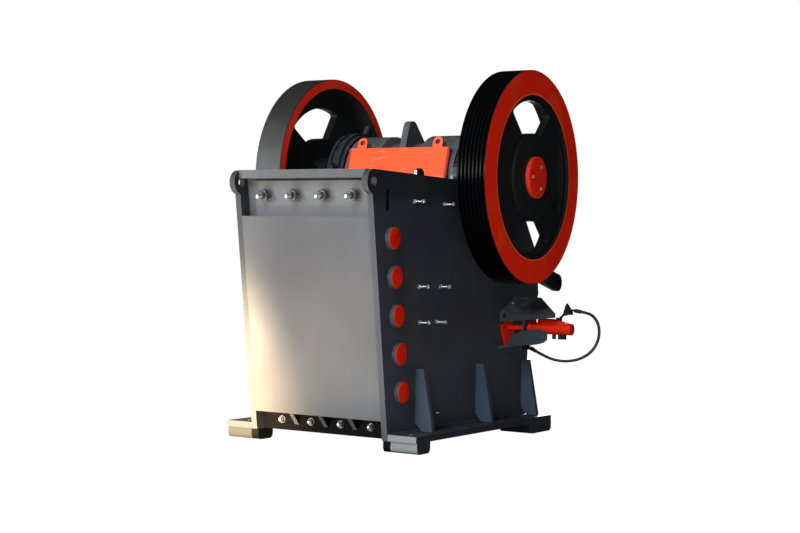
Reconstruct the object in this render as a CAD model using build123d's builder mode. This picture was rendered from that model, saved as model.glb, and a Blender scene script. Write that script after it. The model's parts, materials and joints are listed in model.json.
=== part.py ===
from build123d import *

import os
from math import cos, radians, sin, tan

# Jaw crusher: a welded box frame with a fixed jaw in front, a swing jaw hung on an
# eccentric shaft between two flywheels, and a toggle held by two sliding wedges.
# All sizes are in millimetres. X runs across the machine, towards the grooved flywheel.
# Y runs from the front wall to the rear. Z runs up from the ground under the foot pads.
# The origin lies on the ground, midway between the four anchor holes.

# General fits
running_fit = 0.1
seat_fit = 0.3
open_gap = 5.0
tack_bite = 20.0

# Side plates of the frame: half the width between them, their outline and their lugs
side_inner_x = 595.0
side_t = 50.0
side_outer_x = side_inner_x + side_t
side_bottom_z = 90.0
side_top_z = 2175.0
front_foot_y = -1170.0
front_tilt = 9.27
rear_foot_y = 1255.0
rear_knee_y = 1266.0
rear_knee_z = 714.0
rear_shoulder_y = 1465.0
rear_shoulder_z = 1226.0
rear_neck_y = 1451.0
rear_neck_z = 1303.0
rear_neck_corner = 28.0
rear_root_z = 1428.0
rear_root_h = 150.0
rear_top_z = 1530.0
rear_crown_y = 930.0
front_lug_r = 95.0
front_lug_hole_r = 40.0
front_lug_setback = 30.0
rear_lug_y = 1897.0
rear_lug_z = 1325.0
rear_lug_r = 80.0
rear_lug_hole_r = 30.0
slot_setback = 215.0
slot_drop = 224.0
slot_len = 172.0
slot_w = 44.0

# Front wall
skin_t = 40.0
skin_low_z = 240.0
skin_drop = 403.0
skin_high_z = side_top_z - skin_drop
recess_depth = 120.0
recess_plate_t = 50.0
top_plate_t = 66.0
top_beam_depth = 330.0
backing_setback = 378.0
backing_t = 50.0
ledge_t = 60.0
ledge_reach = 80.0
low_recess_depth = 150.0
low_beam_t = 60.0
low_beam_z = 330.0
rib_t = 40.0
rib_pitch = 277.0
boss_setback = 240.0
boss_r = 82.0
boss_out = 30.0
boss_count = 5
boss_first_z = 457.0
boss_pitch = 300.0

# Base flanges, gussets and foot pads
flange_w = 256.0
flange_t = 50.0
flange_outer_x = side_outer_x + flange_w
flange_top_z = side_bottom_z + flange_t
gusset_y = (-752.0, 273.0, 1153.0)
gusset_t = 45.0
gusset_top_z = 630.0
gusset_top_w = 65.0
gusset_low_w = 160.0
gusset_snipe = 60.0
front_pad_len = 204.0
rear_pad_len = 420.0
pad_round = 42.0
anchor_out = 130.0
anchor_x = side_outer_x + anchor_out
anchor_y = 1050.0
anchor_hole_r = 26.0

# Main shaft and bearings
shaft_y = 330.0
shaft_rise = 44.0
shaft_z = side_top_z + shaft_rise
throw = 16.0
eccentric_z = shaft_z - throw
journal_r = 130.0
eccentric_r = 150.0
wheel_seat_r = 110.0
sleeve_r = 150.0
housing_in = 35.0
housing_out = 67.0
housing_x0 = side_inner_x - housing_in
housing_x1 = side_outer_x + housing_out
housing_r = 383.0
housing_rim_r = 404.0
housing_rim_t = 27.0
housing_band_r = 410.0
housing_band_t = 40.0
seal_ring_r = 225.0
seal_ring_t = 24.0
ear_out = 100.0
cap_ear_t = 60.0
cap_eye_turn = 70.0
cap_eye_reach = 450.0
cap_eye_r = 70.0
cap_eye_hole_r = 27.0
cap_eye_t = 44.0
cap_eye_foot = 95.0

# Flywheels
wheel_gap = 148.0
wheel_w = 262.0
wheel_x0 = housing_x1 + wheel_gap
wheel_x1 = wheel_x0 + wheel_w
wheel_r = 900.0
wheel_chamfer = 6.0
rim_face_w = 208.0
rim_face_r = wheel_r - rim_face_w
rim_t = 83.0
rim_inner_r = wheel_r - rim_t
rim_draft = 20.0
web_setback = 32.0
web_t = 70.0
web_x1 = wheel_x1 - web_setback
web_x0 = web_x1 - web_t
hub_r = 200.0
hub_draft = 14.0
hub_inset = 30.0
hub_x0 = wheel_x0 + hub_inset
window_hub_gap = 130.0
window_rim_gap = 47.0
window_corner = 22.0
spoke_w = 250.0
grooved_spoke_turn = 2.0
plain_spoke_turn = 14.0
groove_count = 7
groove_pitch = 34.0
groove_w = 24.0
groove_floor_w = 8.0
groove_depth = 22.0
hub_cap_inset = 14.0
hub_cap_t = 12.0

# Fixed jaw, moving jaw and cheek plates
jaw_t = 100.0
tooth_depth = 32.0
tooth_pitch = 84.0
fixed_jaw_z0 = 235.0
fixed_jaw_drop = 134.0
fixed_jaw_len = (side_top_z - fixed_jaw_drop - fixed_jaw_z0) / cos(radians(front_tilt))
moving_face_back = 550.0
moving_face_top_y = shaft_y - moving_face_back
moving_face_drop = 25.0
moving_face_top_z = side_top_z - moving_face_drop
moving_tilt = 9.5
moving_low_z = 335.0
moving_jaw_len = (moving_face_top_z - moving_low_z) / cos(radians(moving_tilt))
moving_side_gap = 45.0
moving_half_w = side_inner_x - moving_side_gap
cheek_t = 30.0
cheek_gap = 8.0
cheek_split_z = 1145.0
cheek_low_z = 260.0
cheek_drop = 115.0
cheek_high_z = side_top_z - cheek_drop
cheek_behind = 60.0

# Swing jaw: barrel with its eye, front wall with the toggle's seat, and upright ribs
barrel_side_gap = 55.0
barrel_half_w = side_inner_x - barrel_side_gap
barrel_r = 384.0
barrel_waist = 59.0
barrel_mid_r = barrel_r - barrel_waist
barrel_mid_x0 = -200.0
barrel_mid_x1 = 140.0
barrel_step = 30.0
land_w = 130.0
relief_step = 35.0
relief_r = eccentric_r + relief_step
jaw_wall_t = 70.0
jaw_rib_t = 56.0
jaw_rib_pitch = (moving_half_w - jaw_rib_t) / 2
jaw_rib_back = 190.0
jaw_rib_drop = 320.0
jaw_seat_h = 220.0
jaw_seat_rise = 100.0
jaw_seat_lip = 20.0
jaw_seat_inset = 20.0
lug_t = 60.0
lug_ahead = 173.0
lug_rise = 410.0
lug_r = 76.0
lug_hole_r = 27.0
lug_foot_ahead = 304.0
lug_foot_behind = 105.0
lug_foot_low = 60.0
lug_foot_top = 265.0

# Guard plate on the front of the swing jaw
guard_side_gap = 93.0
guard_half_w = side_inner_x - guard_side_gap
guard_t = 24.0
guard_clear = 7.0
guard_stand = barrel_r + guard_clear + guard_t
guard_rise = 242.0
guard_top_z = shaft_z + guard_rise
guard_h = 296.0
guard_low_z = guard_top_z - guard_h
guard_tilt = 14.6
guard_over = (guard_top_z - eccentric_z) * sin(radians(guard_tilt))
guard_top_y = shaft_y - (guard_stand - guard_over) / cos(radians(guard_tilt))
guard_eye_inset = 126.0
guard_eye_r = 47.0
guard_eye_hole_r = 24.0
guard_eye_rise = 48.0
guard_rib_inset = 202.0
guard_rib_t = 44.0
guard_rib_margin = 30.0
guard_rib_back = 110.0

# Toggle, seat block and wedges
wedge_y = 847.0
wedge_z = 895.0
thrust_tilt = 27.0
wedge_t = 208.0
wedge_h = 200.0
wedge_out = 10.0
wedge_out_x = side_outer_x + wedge_out
wedge_in_x = 70.0
wedge_angle = 10.0
wedge_gap = 8.0
seat_side_gap = 45.0
seat_half_w = side_inner_x - seat_side_gap
seat_front = 244.0
toggle_len = 720.0
toggle_t = 70.0
toggle_end_r = 42.0
toggle_inset = 100.0
toggle_half_w = seat_half_w - toggle_inset

# Adjusting cylinders, the hood over them and the bracket below
cylinder_y = 847.0
cylinder_z = 932.0
cylinder_r = 50.0
cylinder_wall = 10.0
cylinder_out = 223.0
cylinder_len = 402.0
cylinder_x0 = side_outer_x + cylinder_out
cylinder_x1 = cylinder_x0 + cylinder_len
cylinder_collar = 10.0
cylinder_collar_len = 36.0
rod_r = 24.0
rod_in = 70.0
rod_clear = 1.0
piston_t = 25.0
rail_half_w = 30.0
rail_rise = 57.0
rail_in = 82.0
rail_end = 30.0
rail_flat = 155.0
rail_x0 = cylinder_x0 + rail_in
rail_x1 = cylinder_x1 - rail_end
rail_bend_x = rail_x0 + rail_flat
rail_top_z = cylinder_z + rail_rise + rail_half_w
rail_fall = rail_top_z - cylinder_z - cylinder_r
bracket_t = 20.0
hood_y = 703.0
hood_z = 1057.0
hood_lip = 80.0
hood_lip_tip = 24.0
hood_len = 310.0
hood_out = 520.0
hood_out_x = side_outer_x + hood_out
hood_top_out = 260.0
hood_top_out_x = side_outer_x + hood_top_out
bracket_y = 698.0
bracket_root_z = 742.0
bracket_slope = 9.5
bracket_out = 450.0
bracket_out_x = side_outer_x + bracket_out
bracket_open = 60.0
bracket_open_x = side_outer_x + bracket_open
bracket_heel = (126.0, 868.0)
bracket_back = (225.0, 911.0)
bracket_crown = (379.0, 926.0)
bracket_nose_z = 903.0
bracket_corner = 36.0
bracket_depth = 290.0
bracket_slot_y0 = 778.0
bracket_slot_y1 = 865.0
bracket_slot_out = 120.0
end_plate_t = 24.0

# Valve on the cylinder, port below the bracket, and the hose between them on the right
valve_y = 865.0
valve_t = 50.0
valve_out = 34.0
valve_x = rail_x1 - valve_out
valve_z = 1092.0
valve_post_w = 40.0
valve_post_h = 14.0
valve_post_gap = 82.0
valve_pipe_r = 10.0
drain_depth = 39.0
drain_r = 17.0
drain_out = 140.0
drain_block_out = 63.0
drain_block_len = 63.0
port_y = 896.0
port_w = 50.0
port_h = 30.0
port_out = 140.0
neck_r = 9.0
neck_len = 40.0
stub_len = 22.0
nut_r = 20.0
nut_len = 34.0
ferrule_r = 17.0
ferrule_len = 28.0
hose_r = 13.0
hose_route = (
    (1313, 934, 1087),
    (1366, 978, 1077),
    (1410, 1015, 1037),
    (1437, 1038, 970),
    (1442, 1042, 882),
    (1422, 1020, 791),
    (1362, 1000, 715),
    (1278, 975, 667),
    (1182, 950, 648),
    (1080, 928, 653),
    (986, 912, 684),
    (903, 902, 726),
)
hose_run_share = 0.45

# Rear wall, toggle beam and the low tie
rear_wall_t = 50.0
rear_wall_z0 = 330.0
rear_wall_inset = 6.0
beam_depth = 150.0
beam_ledge_t = 60.0
low_tie_h = 210.0
low_tie_t = 50.0

front_run = tan(radians(front_tilt))
thrust_cos = cos(radians(thrust_tilt))
thrust_sin = sin(radians(thrust_tilt))


def front_y(z, setback=0.0):
    """Y of the frame's sloping front edge at height z, or of a line set back from it."""
    return front_foot_y - (z - side_bottom_z) * front_run + setback


def moving_y(z, behind=0.0):
    """Y of the moving jaw's tooth tips at height z, or of a line square behind them."""
    run = tan(radians(moving_tilt))
    return moving_face_top_y - (moving_face_top_z - z) * run + behind / cos(radians(moving_tilt))


def thrust_plane(x):
    """Plane square to X at x: its own x runs up the toggle's line and y square to it."""
    return Plane(origin=(x, wedge_y, wedge_z), x_dir=(0, thrust_cos, thrust_sin), z_dir=(1, 0, 0))


def wedge_plane(up):
    """Plane in which the wedges slide: its x is X and its y runs up the toggle's line."""
    origin = (0, wedge_y - up * thrust_sin, wedge_z + up * thrust_cos)
    return Plane(origin=origin, x_dir=(1, 0, 0), z_dir=(0, -thrust_sin, thrust_cos))


def save(piece, name):
    """Label one finished piece and write it as its own file."""
    piece.part.label = name
    export_step(piece.part, f"parts/{name}.step")


def save_pair(piece, name):
    """Write a piece of the right side and its mirror image on the left."""
    save(piece, f"{name}_right")
    with BuildPart() as twin:
        mirror(piece.part, about=Plane.YZ)
    save(twin, f"{name}_left")


def both_sides(piece):
    """A piece of the right side and its mirror image on the left, as one part."""
    with BuildPart() as pair:
        add(piece.part)
        mirror(piece.part, about=Plane.YZ)
    return pair


def side_plate():
    """One side plate: sloping front, round lugs, bearing notch, slot and wedge window."""
    lug_z = side_top_z - front_lug_r
    lug_y = front_y(lug_z, front_lug_setback)
    slot_z = side_top_z - slot_drop
    arm = rear_arm()
    with BuildPart() as plate:
        with BuildSketch(Plane.YZ.offset(side_inner_x)) as outline:
            with BuildLine():
                Polyline(
                    (front_y(side_bottom_z), side_bottom_z),
                    (rear_foot_y, side_bottom_z),
                    (rear_knee_y, rear_knee_z),
                    (rear_shoulder_y, rear_shoulder_z),
                    (rear_neck_y, rear_neck_z),
                    (rear_neck_y, rear_top_z),
                    (rear_crown_y, side_top_z),
                    (lug_y, side_top_z),
                    (front_y(lug_z), lug_z),
                    close=True,
                )
            make_face()
            add(arm)
            neck = outline.vertices().sort_by_distance((rear_neck_y, rear_root_z - rear_root_h / 2))
            fillet(neck[0], radius=rear_neck_corner)
            with Locations((lug_y, lug_z)):
                Circle(front_lug_r)
                Circle(front_lug_hole_r, mode=Mode.SUBTRACT)
            with Locations((rear_lug_y, rear_lug_z)):
                Circle(rear_lug_hole_r, mode=Mode.SUBTRACT)
            with Locations((shaft_y, shaft_z)):
                Circle(housing_r, mode=Mode.SUBTRACT)
            with Locations((front_y(slot_z, slot_setback), slot_z)):
                SlotOverall(slot_len, slot_w, rotation=90, mode=Mode.SUBTRACT)
        extrude(amount=side_t)
        with BuildSketch(thrust_plane(side_inner_x)):
            Rectangle(wedge_t + 2 * wedge_gap, wedge_h + 2 * wedge_gap)
        extrude(amount=side_t, mode=Mode.SUBTRACT)
    return plate


def front_skin():
    """The big plain plate that closes the front, flush with the side plates' edges."""
    with BuildPart() as skin:
        with BuildSketch(Plane.YZ.offset(-side_inner_x)):
            with BuildLine():
                Polyline(
                    (front_y(skin_low_z), skin_low_z),
                    (front_y(skin_low_z, skin_t), skin_low_z),
                    (front_y(skin_high_z, skin_t), skin_high_z),
                    (front_y(skin_high_z), skin_high_z),
                    close=True,
                )
            make_face()
        extrude(amount=2 * side_inner_x)
    return skin


def front_top_beam():
    """Recessed beam over the skin: a ledge, the bolted back plate and the top plate."""
    plate_z = side_top_z - top_plate_t
    inner = recess_depth + recess_plate_t
    with BuildPart() as beam:
        with BuildSketch(Plane.YZ.offset(-side_inner_x)):
            with BuildLine():
                Polyline(
                    (front_y(skin_high_z), skin_high_z),
                    (front_y(skin_high_z, inner), skin_high_z),
                    (front_y(plate_z, inner), plate_z),
                    (front_y(plate_z, top_beam_depth), plate_z),
                    (front_y(side_top_z, top_beam_depth), side_top_z),
                    (front_y(side_top_z), side_top_z),
                    (front_y(plate_z), plate_z),
                    (front_y(plate_z, recess_depth), plate_z),
                    (front_y(skin_high_z + skin_t, recess_depth), skin_high_z + skin_t),
                    (front_y(skin_high_z + skin_t), skin_high_z + skin_t),
                    close=True,
                )
            make_face()
        extrude(amount=2 * side_inner_x)
    return beam


def jaw_backing_plate():
    """The plate that the fixed jaw lies against, with the ledge that carries it."""
    top = side_top_z - fixed_jaw_drop
    low = side_bottom_z + ledge_t
    front = backing_setback
    back = backing_setback + backing_t
    seat_z = fixed_jaw_z0 - seat_fit
    with BuildPart() as plate:
        with BuildSketch(Plane.YZ.offset(-side_inner_x)):
            with BuildLine():
                Polyline(
                    (front_y(low, front), low),
                    (front_y(low, back + ledge_reach), low),
                    (front_y(seat_z, back + ledge_reach), seat_z),
                    (front_y(seat_z, back), seat_z),
                    (front_y(top, back), top),
                    (front_y(top, front), top),
                    close=True,
                )
            make_face()
        extrude(amount=2 * side_inner_x)
    return plate


def front_wall_ribs():
    """Upright ribs between the skin and the backing plate, cut to a slant at the foot."""
    top = skin_high_z - skin_t
    with BuildPart() as ribs:
        for index in (-1, 0, 1):
            with BuildSketch(Plane.YZ.offset(index * rib_pitch - rib_t / 2)):
                with BuildLine():
                    Polyline(
                        (front_y(skin_low_z, skin_t), skin_low_z),
                        (front_y(low_beam_z, low_recess_depth), side_bottom_z + flange_t),
                        (front_y(low_beam_z, low_recess_depth), low_beam_z),
                        (front_y(low_beam_z, backing_setback), low_beam_z),
                        (front_y(top, backing_setback), top),
                        (front_y(top, skin_t), top),
                        close=True,
                    )
                make_face()
            extrude(amount=rib_t)
    return ribs


def lower_front_beam():
    """Bolted cross plate at the back of the lower recess."""
    y0 = front_y(low_beam_z, low_recess_depth)
    with BuildPart() as beam:
        with BuildSketch(Plane.YZ.offset(-side_inner_x)):
            with BuildLine():
                Polyline(
                    (y0, side_bottom_z),
                    (y0 + low_beam_t, side_bottom_z),
                    (y0 + low_beam_t, low_beam_z),
                    (y0, low_beam_z),
                    close=True,
                )
            make_face()
        extrude(amount=2 * side_inner_x)
    return beam


def tie_bosses():
    """Round ends of the cross ties, standing a little proud of the side plate."""
    with BuildPart() as bosses:
        with BuildSketch(Plane.YZ.offset(side_outer_x)):
            for index in range(boss_count):
                z = boss_first_z + index * boss_pitch
                with Locations((front_y(z, boss_setback), z)):
                    Circle(boss_r)
        extrude(amount=boss_out)
    return bosses


def base_flange():
    """Foot flange welded along the outside of a side plate, with its anchor holes."""
    with BuildPart() as flange:
        with BuildSketch(Plane.XY.offset(side_bottom_z)):
            width = flange_outer_x - side_outer_x
            length = rear_foot_y - front_foot_y
            with Locations((side_outer_x + width / 2, front_foot_y + length / 2)):
                Rectangle(width, length)
            with Locations((anchor_x, -anchor_y), (anchor_x, anchor_y)):
                Circle(anchor_hole_r, mode=Mode.SUBTRACT)
        extrude(amount=flange_t)
    return flange


def base_gussets():
    """Tapered gussets that stand on the flange against the side plate."""
    with BuildPart() as gussets:
        for y in gusset_y:
            with BuildSketch(Plane.XZ.offset(-y)):
                with BuildLine():
                    Polyline(
                        (side_outer_x, flange_top_z + gusset_snipe),
                        (side_outer_x + gusset_snipe, flange_top_z),
                        (side_outer_x + gusset_low_w, flange_top_z),
                        (side_outer_x + gusset_top_w, gusset_top_z),
                        (side_outer_x, gusset_top_z),
                        close=True,
                    )
                make_face()
            extrude(amount=-gusset_t)
    return gussets


def base_pads(center_y, length):
    """A pair of foot pads under the flanges, rounded below and drilled for the bolts."""
    width = flange_outer_x - side_inner_x
    with BuildPart() as pads:
        with BuildSketch():
            for sign in (-1, 1):
                with Locations((sign * (side_inner_x + width / 2), center_y)):
                    Rectangle(width, length)
        extrude(amount=side_bottom_z)
        fillet(pads.edges().filter_by(Axis.X).group_by(Axis.Z)[0], radius=pad_round)
        with Locations((-anchor_x, center_y, side_bottom_z), (anchor_x, center_y, side_bottom_z)):
            Hole(anchor_hole_r)
    return pads


def toothed_plate(plane, half_w, length, thickness, shift):
    """A jaw plate with upright teeth: a zigzag section carried up the plate's slope."""
    count = int(2 * half_w / tooth_pitch) - 1
    start = -count * tooth_pitch / 2 + shift
    points = [(-half_w, thickness), (-half_w, tooth_depth), (start - tooth_pitch / 4, tooth_depth)]
    for index in range(count):
        left = start + index * tooth_pitch
        points.append((left + tooth_pitch / 4, 0.0))
        points.append((left + tooth_pitch / 2, 0.0))
        points.append((left + tooth_pitch * 3 / 4, tooth_depth))
        points.append((left + tooth_pitch, tooth_depth))
    points += [(half_w, tooth_depth), (half_w, thickness)]
    with BuildPart() as jaw:
        with BuildSketch(plane):
            with BuildLine():
                Polyline(*points, close=True)
            make_face()
        extrude(amount=length)
    return jaw


def fixed_jaw_plate():
    """Fixed jaw plate: its flat back lies on the backing plate, its teeth look rearwards."""
    setback = backing_setback + backing_t + jaw_t / cos(radians(front_tilt))
    up = (0, -sin(radians(front_tilt)), cos(radians(front_tilt)))
    low_z = fixed_jaw_z0 + jaw_t * sin(radians(front_tilt))
    face = Plane(origin=(0, front_y(low_z, setback), low_z), x_dir=(-1, 0, 0), z_dir=up)
    return toothed_plate(face, side_inner_x - seat_fit, fixed_jaw_len, jaw_t, 0.0)


def moving_jaw_plate():
    """Moving jaw plate: its teeth look forwards and stand between those of the fixed jaw."""
    up = (0, sin(radians(moving_tilt)), cos(radians(moving_tilt)))
    face = Plane(origin=(0, moving_y(moving_low_z), moving_low_z), x_dir=(1, 0, 0), z_dir=up)
    return toothed_plate(face, moving_half_w, moving_jaw_len, jaw_t, tooth_pitch / 2)


def cheek_plates():
    """Upper and lower wear plates on the inside of one side plate, between the jaws."""
    setback = backing_setback + backing_t + jaw_t / cos(radians(front_tilt)) + cheek_gap
    spans = ((cheek_low_z, cheek_split_z - cheek_gap), (cheek_split_z, cheek_high_z))
    with BuildPart() as cheeks:
        for low, high in spans:
            with BuildSketch(Plane.YZ.offset(side_inner_x - cheek_t)):
                with BuildLine():
                    Polyline(
                        (front_y(low, setback), low),
                        (moving_y(low, cheek_behind), low),
                        (moving_y(high, cheek_behind), high),
                        (front_y(high, setback), high),
                        close=True,
                    )
                make_face()
            extrude(amount=cheek_t)
    return cheeks


def housing_section(upper):
    """Half section of a main bearing housing: radius against X, with a band on the cap."""
    bore = journal_r + running_fit
    rim_x = housing_x1 - housing_rim_t
    band_x = side_inner_x + housing_band_t
    band = (
        (side_inner_x, housing_r),
        (side_inner_x, housing_band_r),
        (band_x, housing_band_r),
        (band_x, housing_r),
    )
    return (
        (housing_x0, bore),
        (housing_x0, housing_r),
        *(band if upper else ()),
        (rim_x, housing_r),
        (rim_x, housing_rim_r),
        (housing_x1, housing_rim_r),
        (housing_x1, seal_ring_r),
        (housing_x1 + seal_ring_t, seal_ring_r),
        (housing_x1 + seal_ring_t, bore),
    )


def turned(section, y, z):
    """A section of radius against X, turned full circle about a line along X at y and z."""
    with BuildPart() as blank:
        with BuildSketch(Plane(origin=(0, y, z), x_dir=(1, 0, 0), z_dir=(0, -1, 0))):
            with BuildLine():
                Polyline(*section, close=True)
            make_face()
        revolve(axis=Axis((0, y, z), (1, 0, 0)))
    return blank.part


def bearing_half(upper):
    """Lower block or upper cap of a main bearing, parted at the shaft's height."""
    ear_t = cap_ear_t if upper else shaft_rise
    ear_z = shaft_z if upper else side_top_z
    ear_w = ear_out + 2 * tack_bite
    ear_y = housing_r + ear_out - ear_w / 2
    plate_x = side_inner_x + side_t / 2
    housing = turned(housing_section(upper), shaft_y, shaft_z)
    eye = cap_eye()
    with BuildPart() as half:
        add(housing)
        split(bisect_by=Plane.XY.offset(shaft_z), keep=Keep.TOP if upper else Keep.BOTTOM)
        with BuildSketch(Plane.XY.offset(ear_z)):
            with Locations((plate_x, shaft_y - ear_y), (plate_x, shaft_y + ear_y)):
                Rectangle(side_t, ear_w)
        extrude(amount=ear_t)
        if upper:
            with BuildSketch(Plane.YZ.offset(plate_x - cap_eye_t / 2)):
                add(eye)
            extrude(amount=cap_eye_t)
    return half


def rear_wall():
    """Cross plate that closes the rear of the frame above and below the toggle beam."""
    low_y = rear_knee_y - rear_wall_inset
    high_y = rear_shoulder_y - rear_wall_inset
    with BuildPart() as wall:
        with BuildSketch(Plane.YZ.offset(-side_inner_x)):
            with BuildLine():
                Polyline(
                    (low_y - rear_wall_t, rear_wall_z0),
                    (low_y, rear_wall_z0),
                    (low_y, rear_knee_z),
                    (high_y, rear_shoulder_z),
                    (high_y - rear_wall_t, rear_shoulder_z),
                    (low_y - rear_wall_t, rear_knee_z),
                    close=True,
                )
            make_face()
        extrude(amount=2 * side_inner_x)
    return wall


def toggle_beam():
    """Heavy cross beam: a slide for the wedges behind and a ledge under the seat block."""
    back = wedge_t / 2 + seat_fit
    low = -wedge_h / 2 - seat_fit
    with BuildPart() as beam:
        with BuildSketch(thrust_plane(-side_inner_x)):
            with BuildLine():
                Polyline(
                    (back, wedge_h / 2),
                    (back, low),
                    (-seat_front, low),
                    (-seat_front, low - beam_ledge_t),
                    (back, low - 2 * beam_ledge_t),
                    (back + beam_depth, low - beam_ledge_t),
                    (back + beam_depth, wedge_h / 2),
                    close=True,
                )
            make_face()
        extrude(amount=2 * side_inner_x)
    return beam


def rear_low_tie():
    """Cross tie between the side plates at the rear foot."""
    with BuildPart() as tie:
        with BuildSketch(Plane.YZ.offset(-side_inner_x)):
            with Locations((rear_foot_y - low_tie_t / 2, side_bottom_z + low_tie_h / 2)):
                Rectangle(low_tie_t, low_tie_h)
        extrude(amount=2 * side_inner_x)
    return tie


def wedge_hood():
    """Hood over the wedge's end: a plate along the toggle's line with a lip in front."""
    rear_y = hood_y + hood_len * thrust_cos
    rear_z = hood_z + hood_len * thrust_sin
    drop_y = bracket_t * thrust_sin
    drop_z = bracket_t * thrust_cos
    under_z = hood_z + (bracket_t - drop_y) * thrust_sin / thrust_cos - drop_z
    with BuildPart() as hood:
        with BuildSketch(Plane.YZ.offset(side_outer_x)):
            with BuildLine():
                Polyline(
                    (hood_y, hood_z - hood_lip),
                    (hood_y, hood_z),
                    (rear_y, rear_z),
                    (rear_y + drop_y, rear_z - drop_z),
                    (hood_y + bracket_t, under_z),
                    (hood_y + bracket_t, hood_z - hood_lip),
                    close=True,
                )
            make_face()
        extrude(amount=hood_out_x - side_outer_x)
        with BuildSketch(Plane.XZ.offset(-hood_y)):
            with BuildLine():
                Polyline(
                    (side_outer_x, hood_z - hood_lip),
                    (hood_out_x, hood_z - hood_lip_tip),
                    (hood_out_x, hood_z - hood_lip),
                    close=True,
                )
            make_face()
        extrude(amount=-bracket_t, mode=Mode.SUBTRACT)
        with BuildSketch(Plane.XY.offset(hood_z - hood_lip)):
            with BuildLine():
                Polyline(
                    (hood_out_x, hood_y + bracket_t),
                    (hood_out_x + bracket_t, hood_y + bracket_t),
                    (hood_out_x + bracket_t, rear_y + drop_y + bracket_t),
                    (hood_top_out_x, rear_y + drop_y + bracket_t),
                    (hood_top_out_x, rear_y),
                    close=True,
                )
            make_face()
        extrude(amount=rear_z - hood_z + hood_lip, mode=Mode.SUBTRACT)
    return hood


def bracket_under(x):
    """Height of the bracket's sloping underside at x."""
    return bracket_root_z + (x - side_outer_x) * tan(radians(bracket_slope))


def cylinder_bracket():
    """Bracket under the cylinder: front flange, end plate, sloping floor slotted for the wedge."""
    plate_x = cylinder_x0 - end_plate_t
    back_y = bracket_y + bracket_depth
    corner_x = bracket_out_x - bracket_corner
    half_t = bracket_t / 2
    foot_z = bracket_under(cylinder_x0) + half_t / 2
    slope = radians(bracket_slope)
    incline = Plane(
        origin=(side_outer_x, bracket_y + half_t, bracket_root_z),
        x_dir=(cos(slope), 0, sin(slope)),
        z_dir=(-sin(slope), 0, cos(slope)),
    )
    with BuildPart() as bracket:
        with BuildSketch(incline):
            with BuildLine():
                Polyline(
                    (0, 0),
                    ((corner_x - side_outer_x) / cos(slope), 0),
                    ((cylinder_x0 + bracket_t - side_outer_x) / cos(slope), bracket_depth - half_t),
                    (0, bracket_depth - half_t),
                    close=True,
                )
            make_face()
        extrude(amount=bracket_t)
        split(bisect_by=Plane.YZ.offset(side_outer_x), keep=Keep.TOP)
        with BuildSketch(Plane.XY.offset(bracket_root_z)):
            with Locations((side_outer_x, (bracket_slot_y0 + bracket_slot_y1) / 2)):
                Rectangle(2 * bracket_slot_out, bracket_slot_y1 - bracket_slot_y0)
        extrude(amount=bracket_depth, mode=Mode.SUBTRACT)
        with BuildSketch(Plane.XZ.offset(-bracket_y)):
            with BuildLine():
                Polyline(
                    (side_outer_x, bracket_root_z),
                    (side_outer_x, bracket_under(bracket_open_x) + bracket_t),
                    (bracket_open_x, bracket_under(bracket_open_x) + bracket_t),
                    (side_outer_x + bracket_heel[0], bracket_heel[1]),
                    (side_outer_x + bracket_back[0], bracket_back[1]),
                    (side_outer_x + bracket_crown[0], bracket_crown[1]),
                    (bracket_out_x, bracket_nose_z),
                    (bracket_out_x, bracket_under(bracket_out_x) + bracket_t),
                    (corner_x, bracket_under(corner_x)),
                    close=True,
                )
            make_face()
        extrude(amount=-bracket_t)
        with BuildSketch(Plane.YZ.offset(plate_x)):
            with BuildLine():
                Polyline(
                    (bracket_y + half_t, foot_z),
                    (bracket_y + half_t, bracket_heel[1]),
                    (hood_y + bracket_t + half_t, hood_z - hood_lip),
                    (hood_y + bracket_t + half_t, hood_z - half_t),
                    (back_y - bracket_t, hood_z + bracket_t),
                    (back_y, foot_z),
                    close=True,
                )
            make_face()
            with Locations((cylinder_y, cylinder_z)):
                Circle(rod_r + rod_clear, mode=Mode.SUBTRACT)
        extrude(amount=end_plate_t)
    return bracket


def rail_z(x):
    """Height of the top of the cylinder's rail at x, on its sloping end."""
    return rail_top_z - (x - rail_bend_x) * rail_fall / (rail_x1 - rail_bend_x)


def cylinder_barrel():
    """Barrel of the adjusting cylinder: closed outer end, rod gland, oil rail along its top."""
    bore_r = cylinder_r - cylinder_wall
    gland_r = rod_r + rod_clear
    collar_r = cylinder_r + cylinder_collar
    collar_x = cylinder_x0 + cylinder_collar_len
    cap_x = cylinder_x1 - cylinder_collar_len
    section = (
        (cylinder_x0, gland_r),
        (cylinder_x0, collar_r),
        (collar_x, collar_r),
        (collar_x, cylinder_r),
        (cylinder_x1, cylinder_r),
        (cylinder_x1, 0),
        (cap_x, 0),
        (cap_x, bore_r),
        (collar_x, bore_r),
        (collar_x, gland_r),
    )
    tube = turned(section, cylinder_y, cylinder_z)
    with BuildPart() as barrel:
        with BuildSketch(Plane.YZ.offset(rail_x0)):
            with Locations((cylinder_y, cylinder_z + rail_rise / 2)):
                Rectangle(2 * rail_half_w, rail_rise)
            with Locations((cylinder_y, cylinder_z + rail_rise)):
                Circle(rail_half_w)
            with Locations((cylinder_y, cylinder_z)):
                Circle(cylinder_r - cylinder_wall / 2, mode=Mode.SUBTRACT)
        extrude(amount=rail_x1 - rail_x0)
        with BuildSketch(Plane.XZ.offset(rail_half_w - cylinder_y)):
            with BuildLine():
                Polyline(
                    (rail_bend_x, rail_top_z),
                    (rail_x1, rail_top_z),
                    (rail_x1, rail_z(rail_x1)),
                    close=True,
                )
            make_face()
        extrude(amount=-2 * rail_half_w, mode=Mode.SUBTRACT)
        add(tube)
    return barrel


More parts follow.
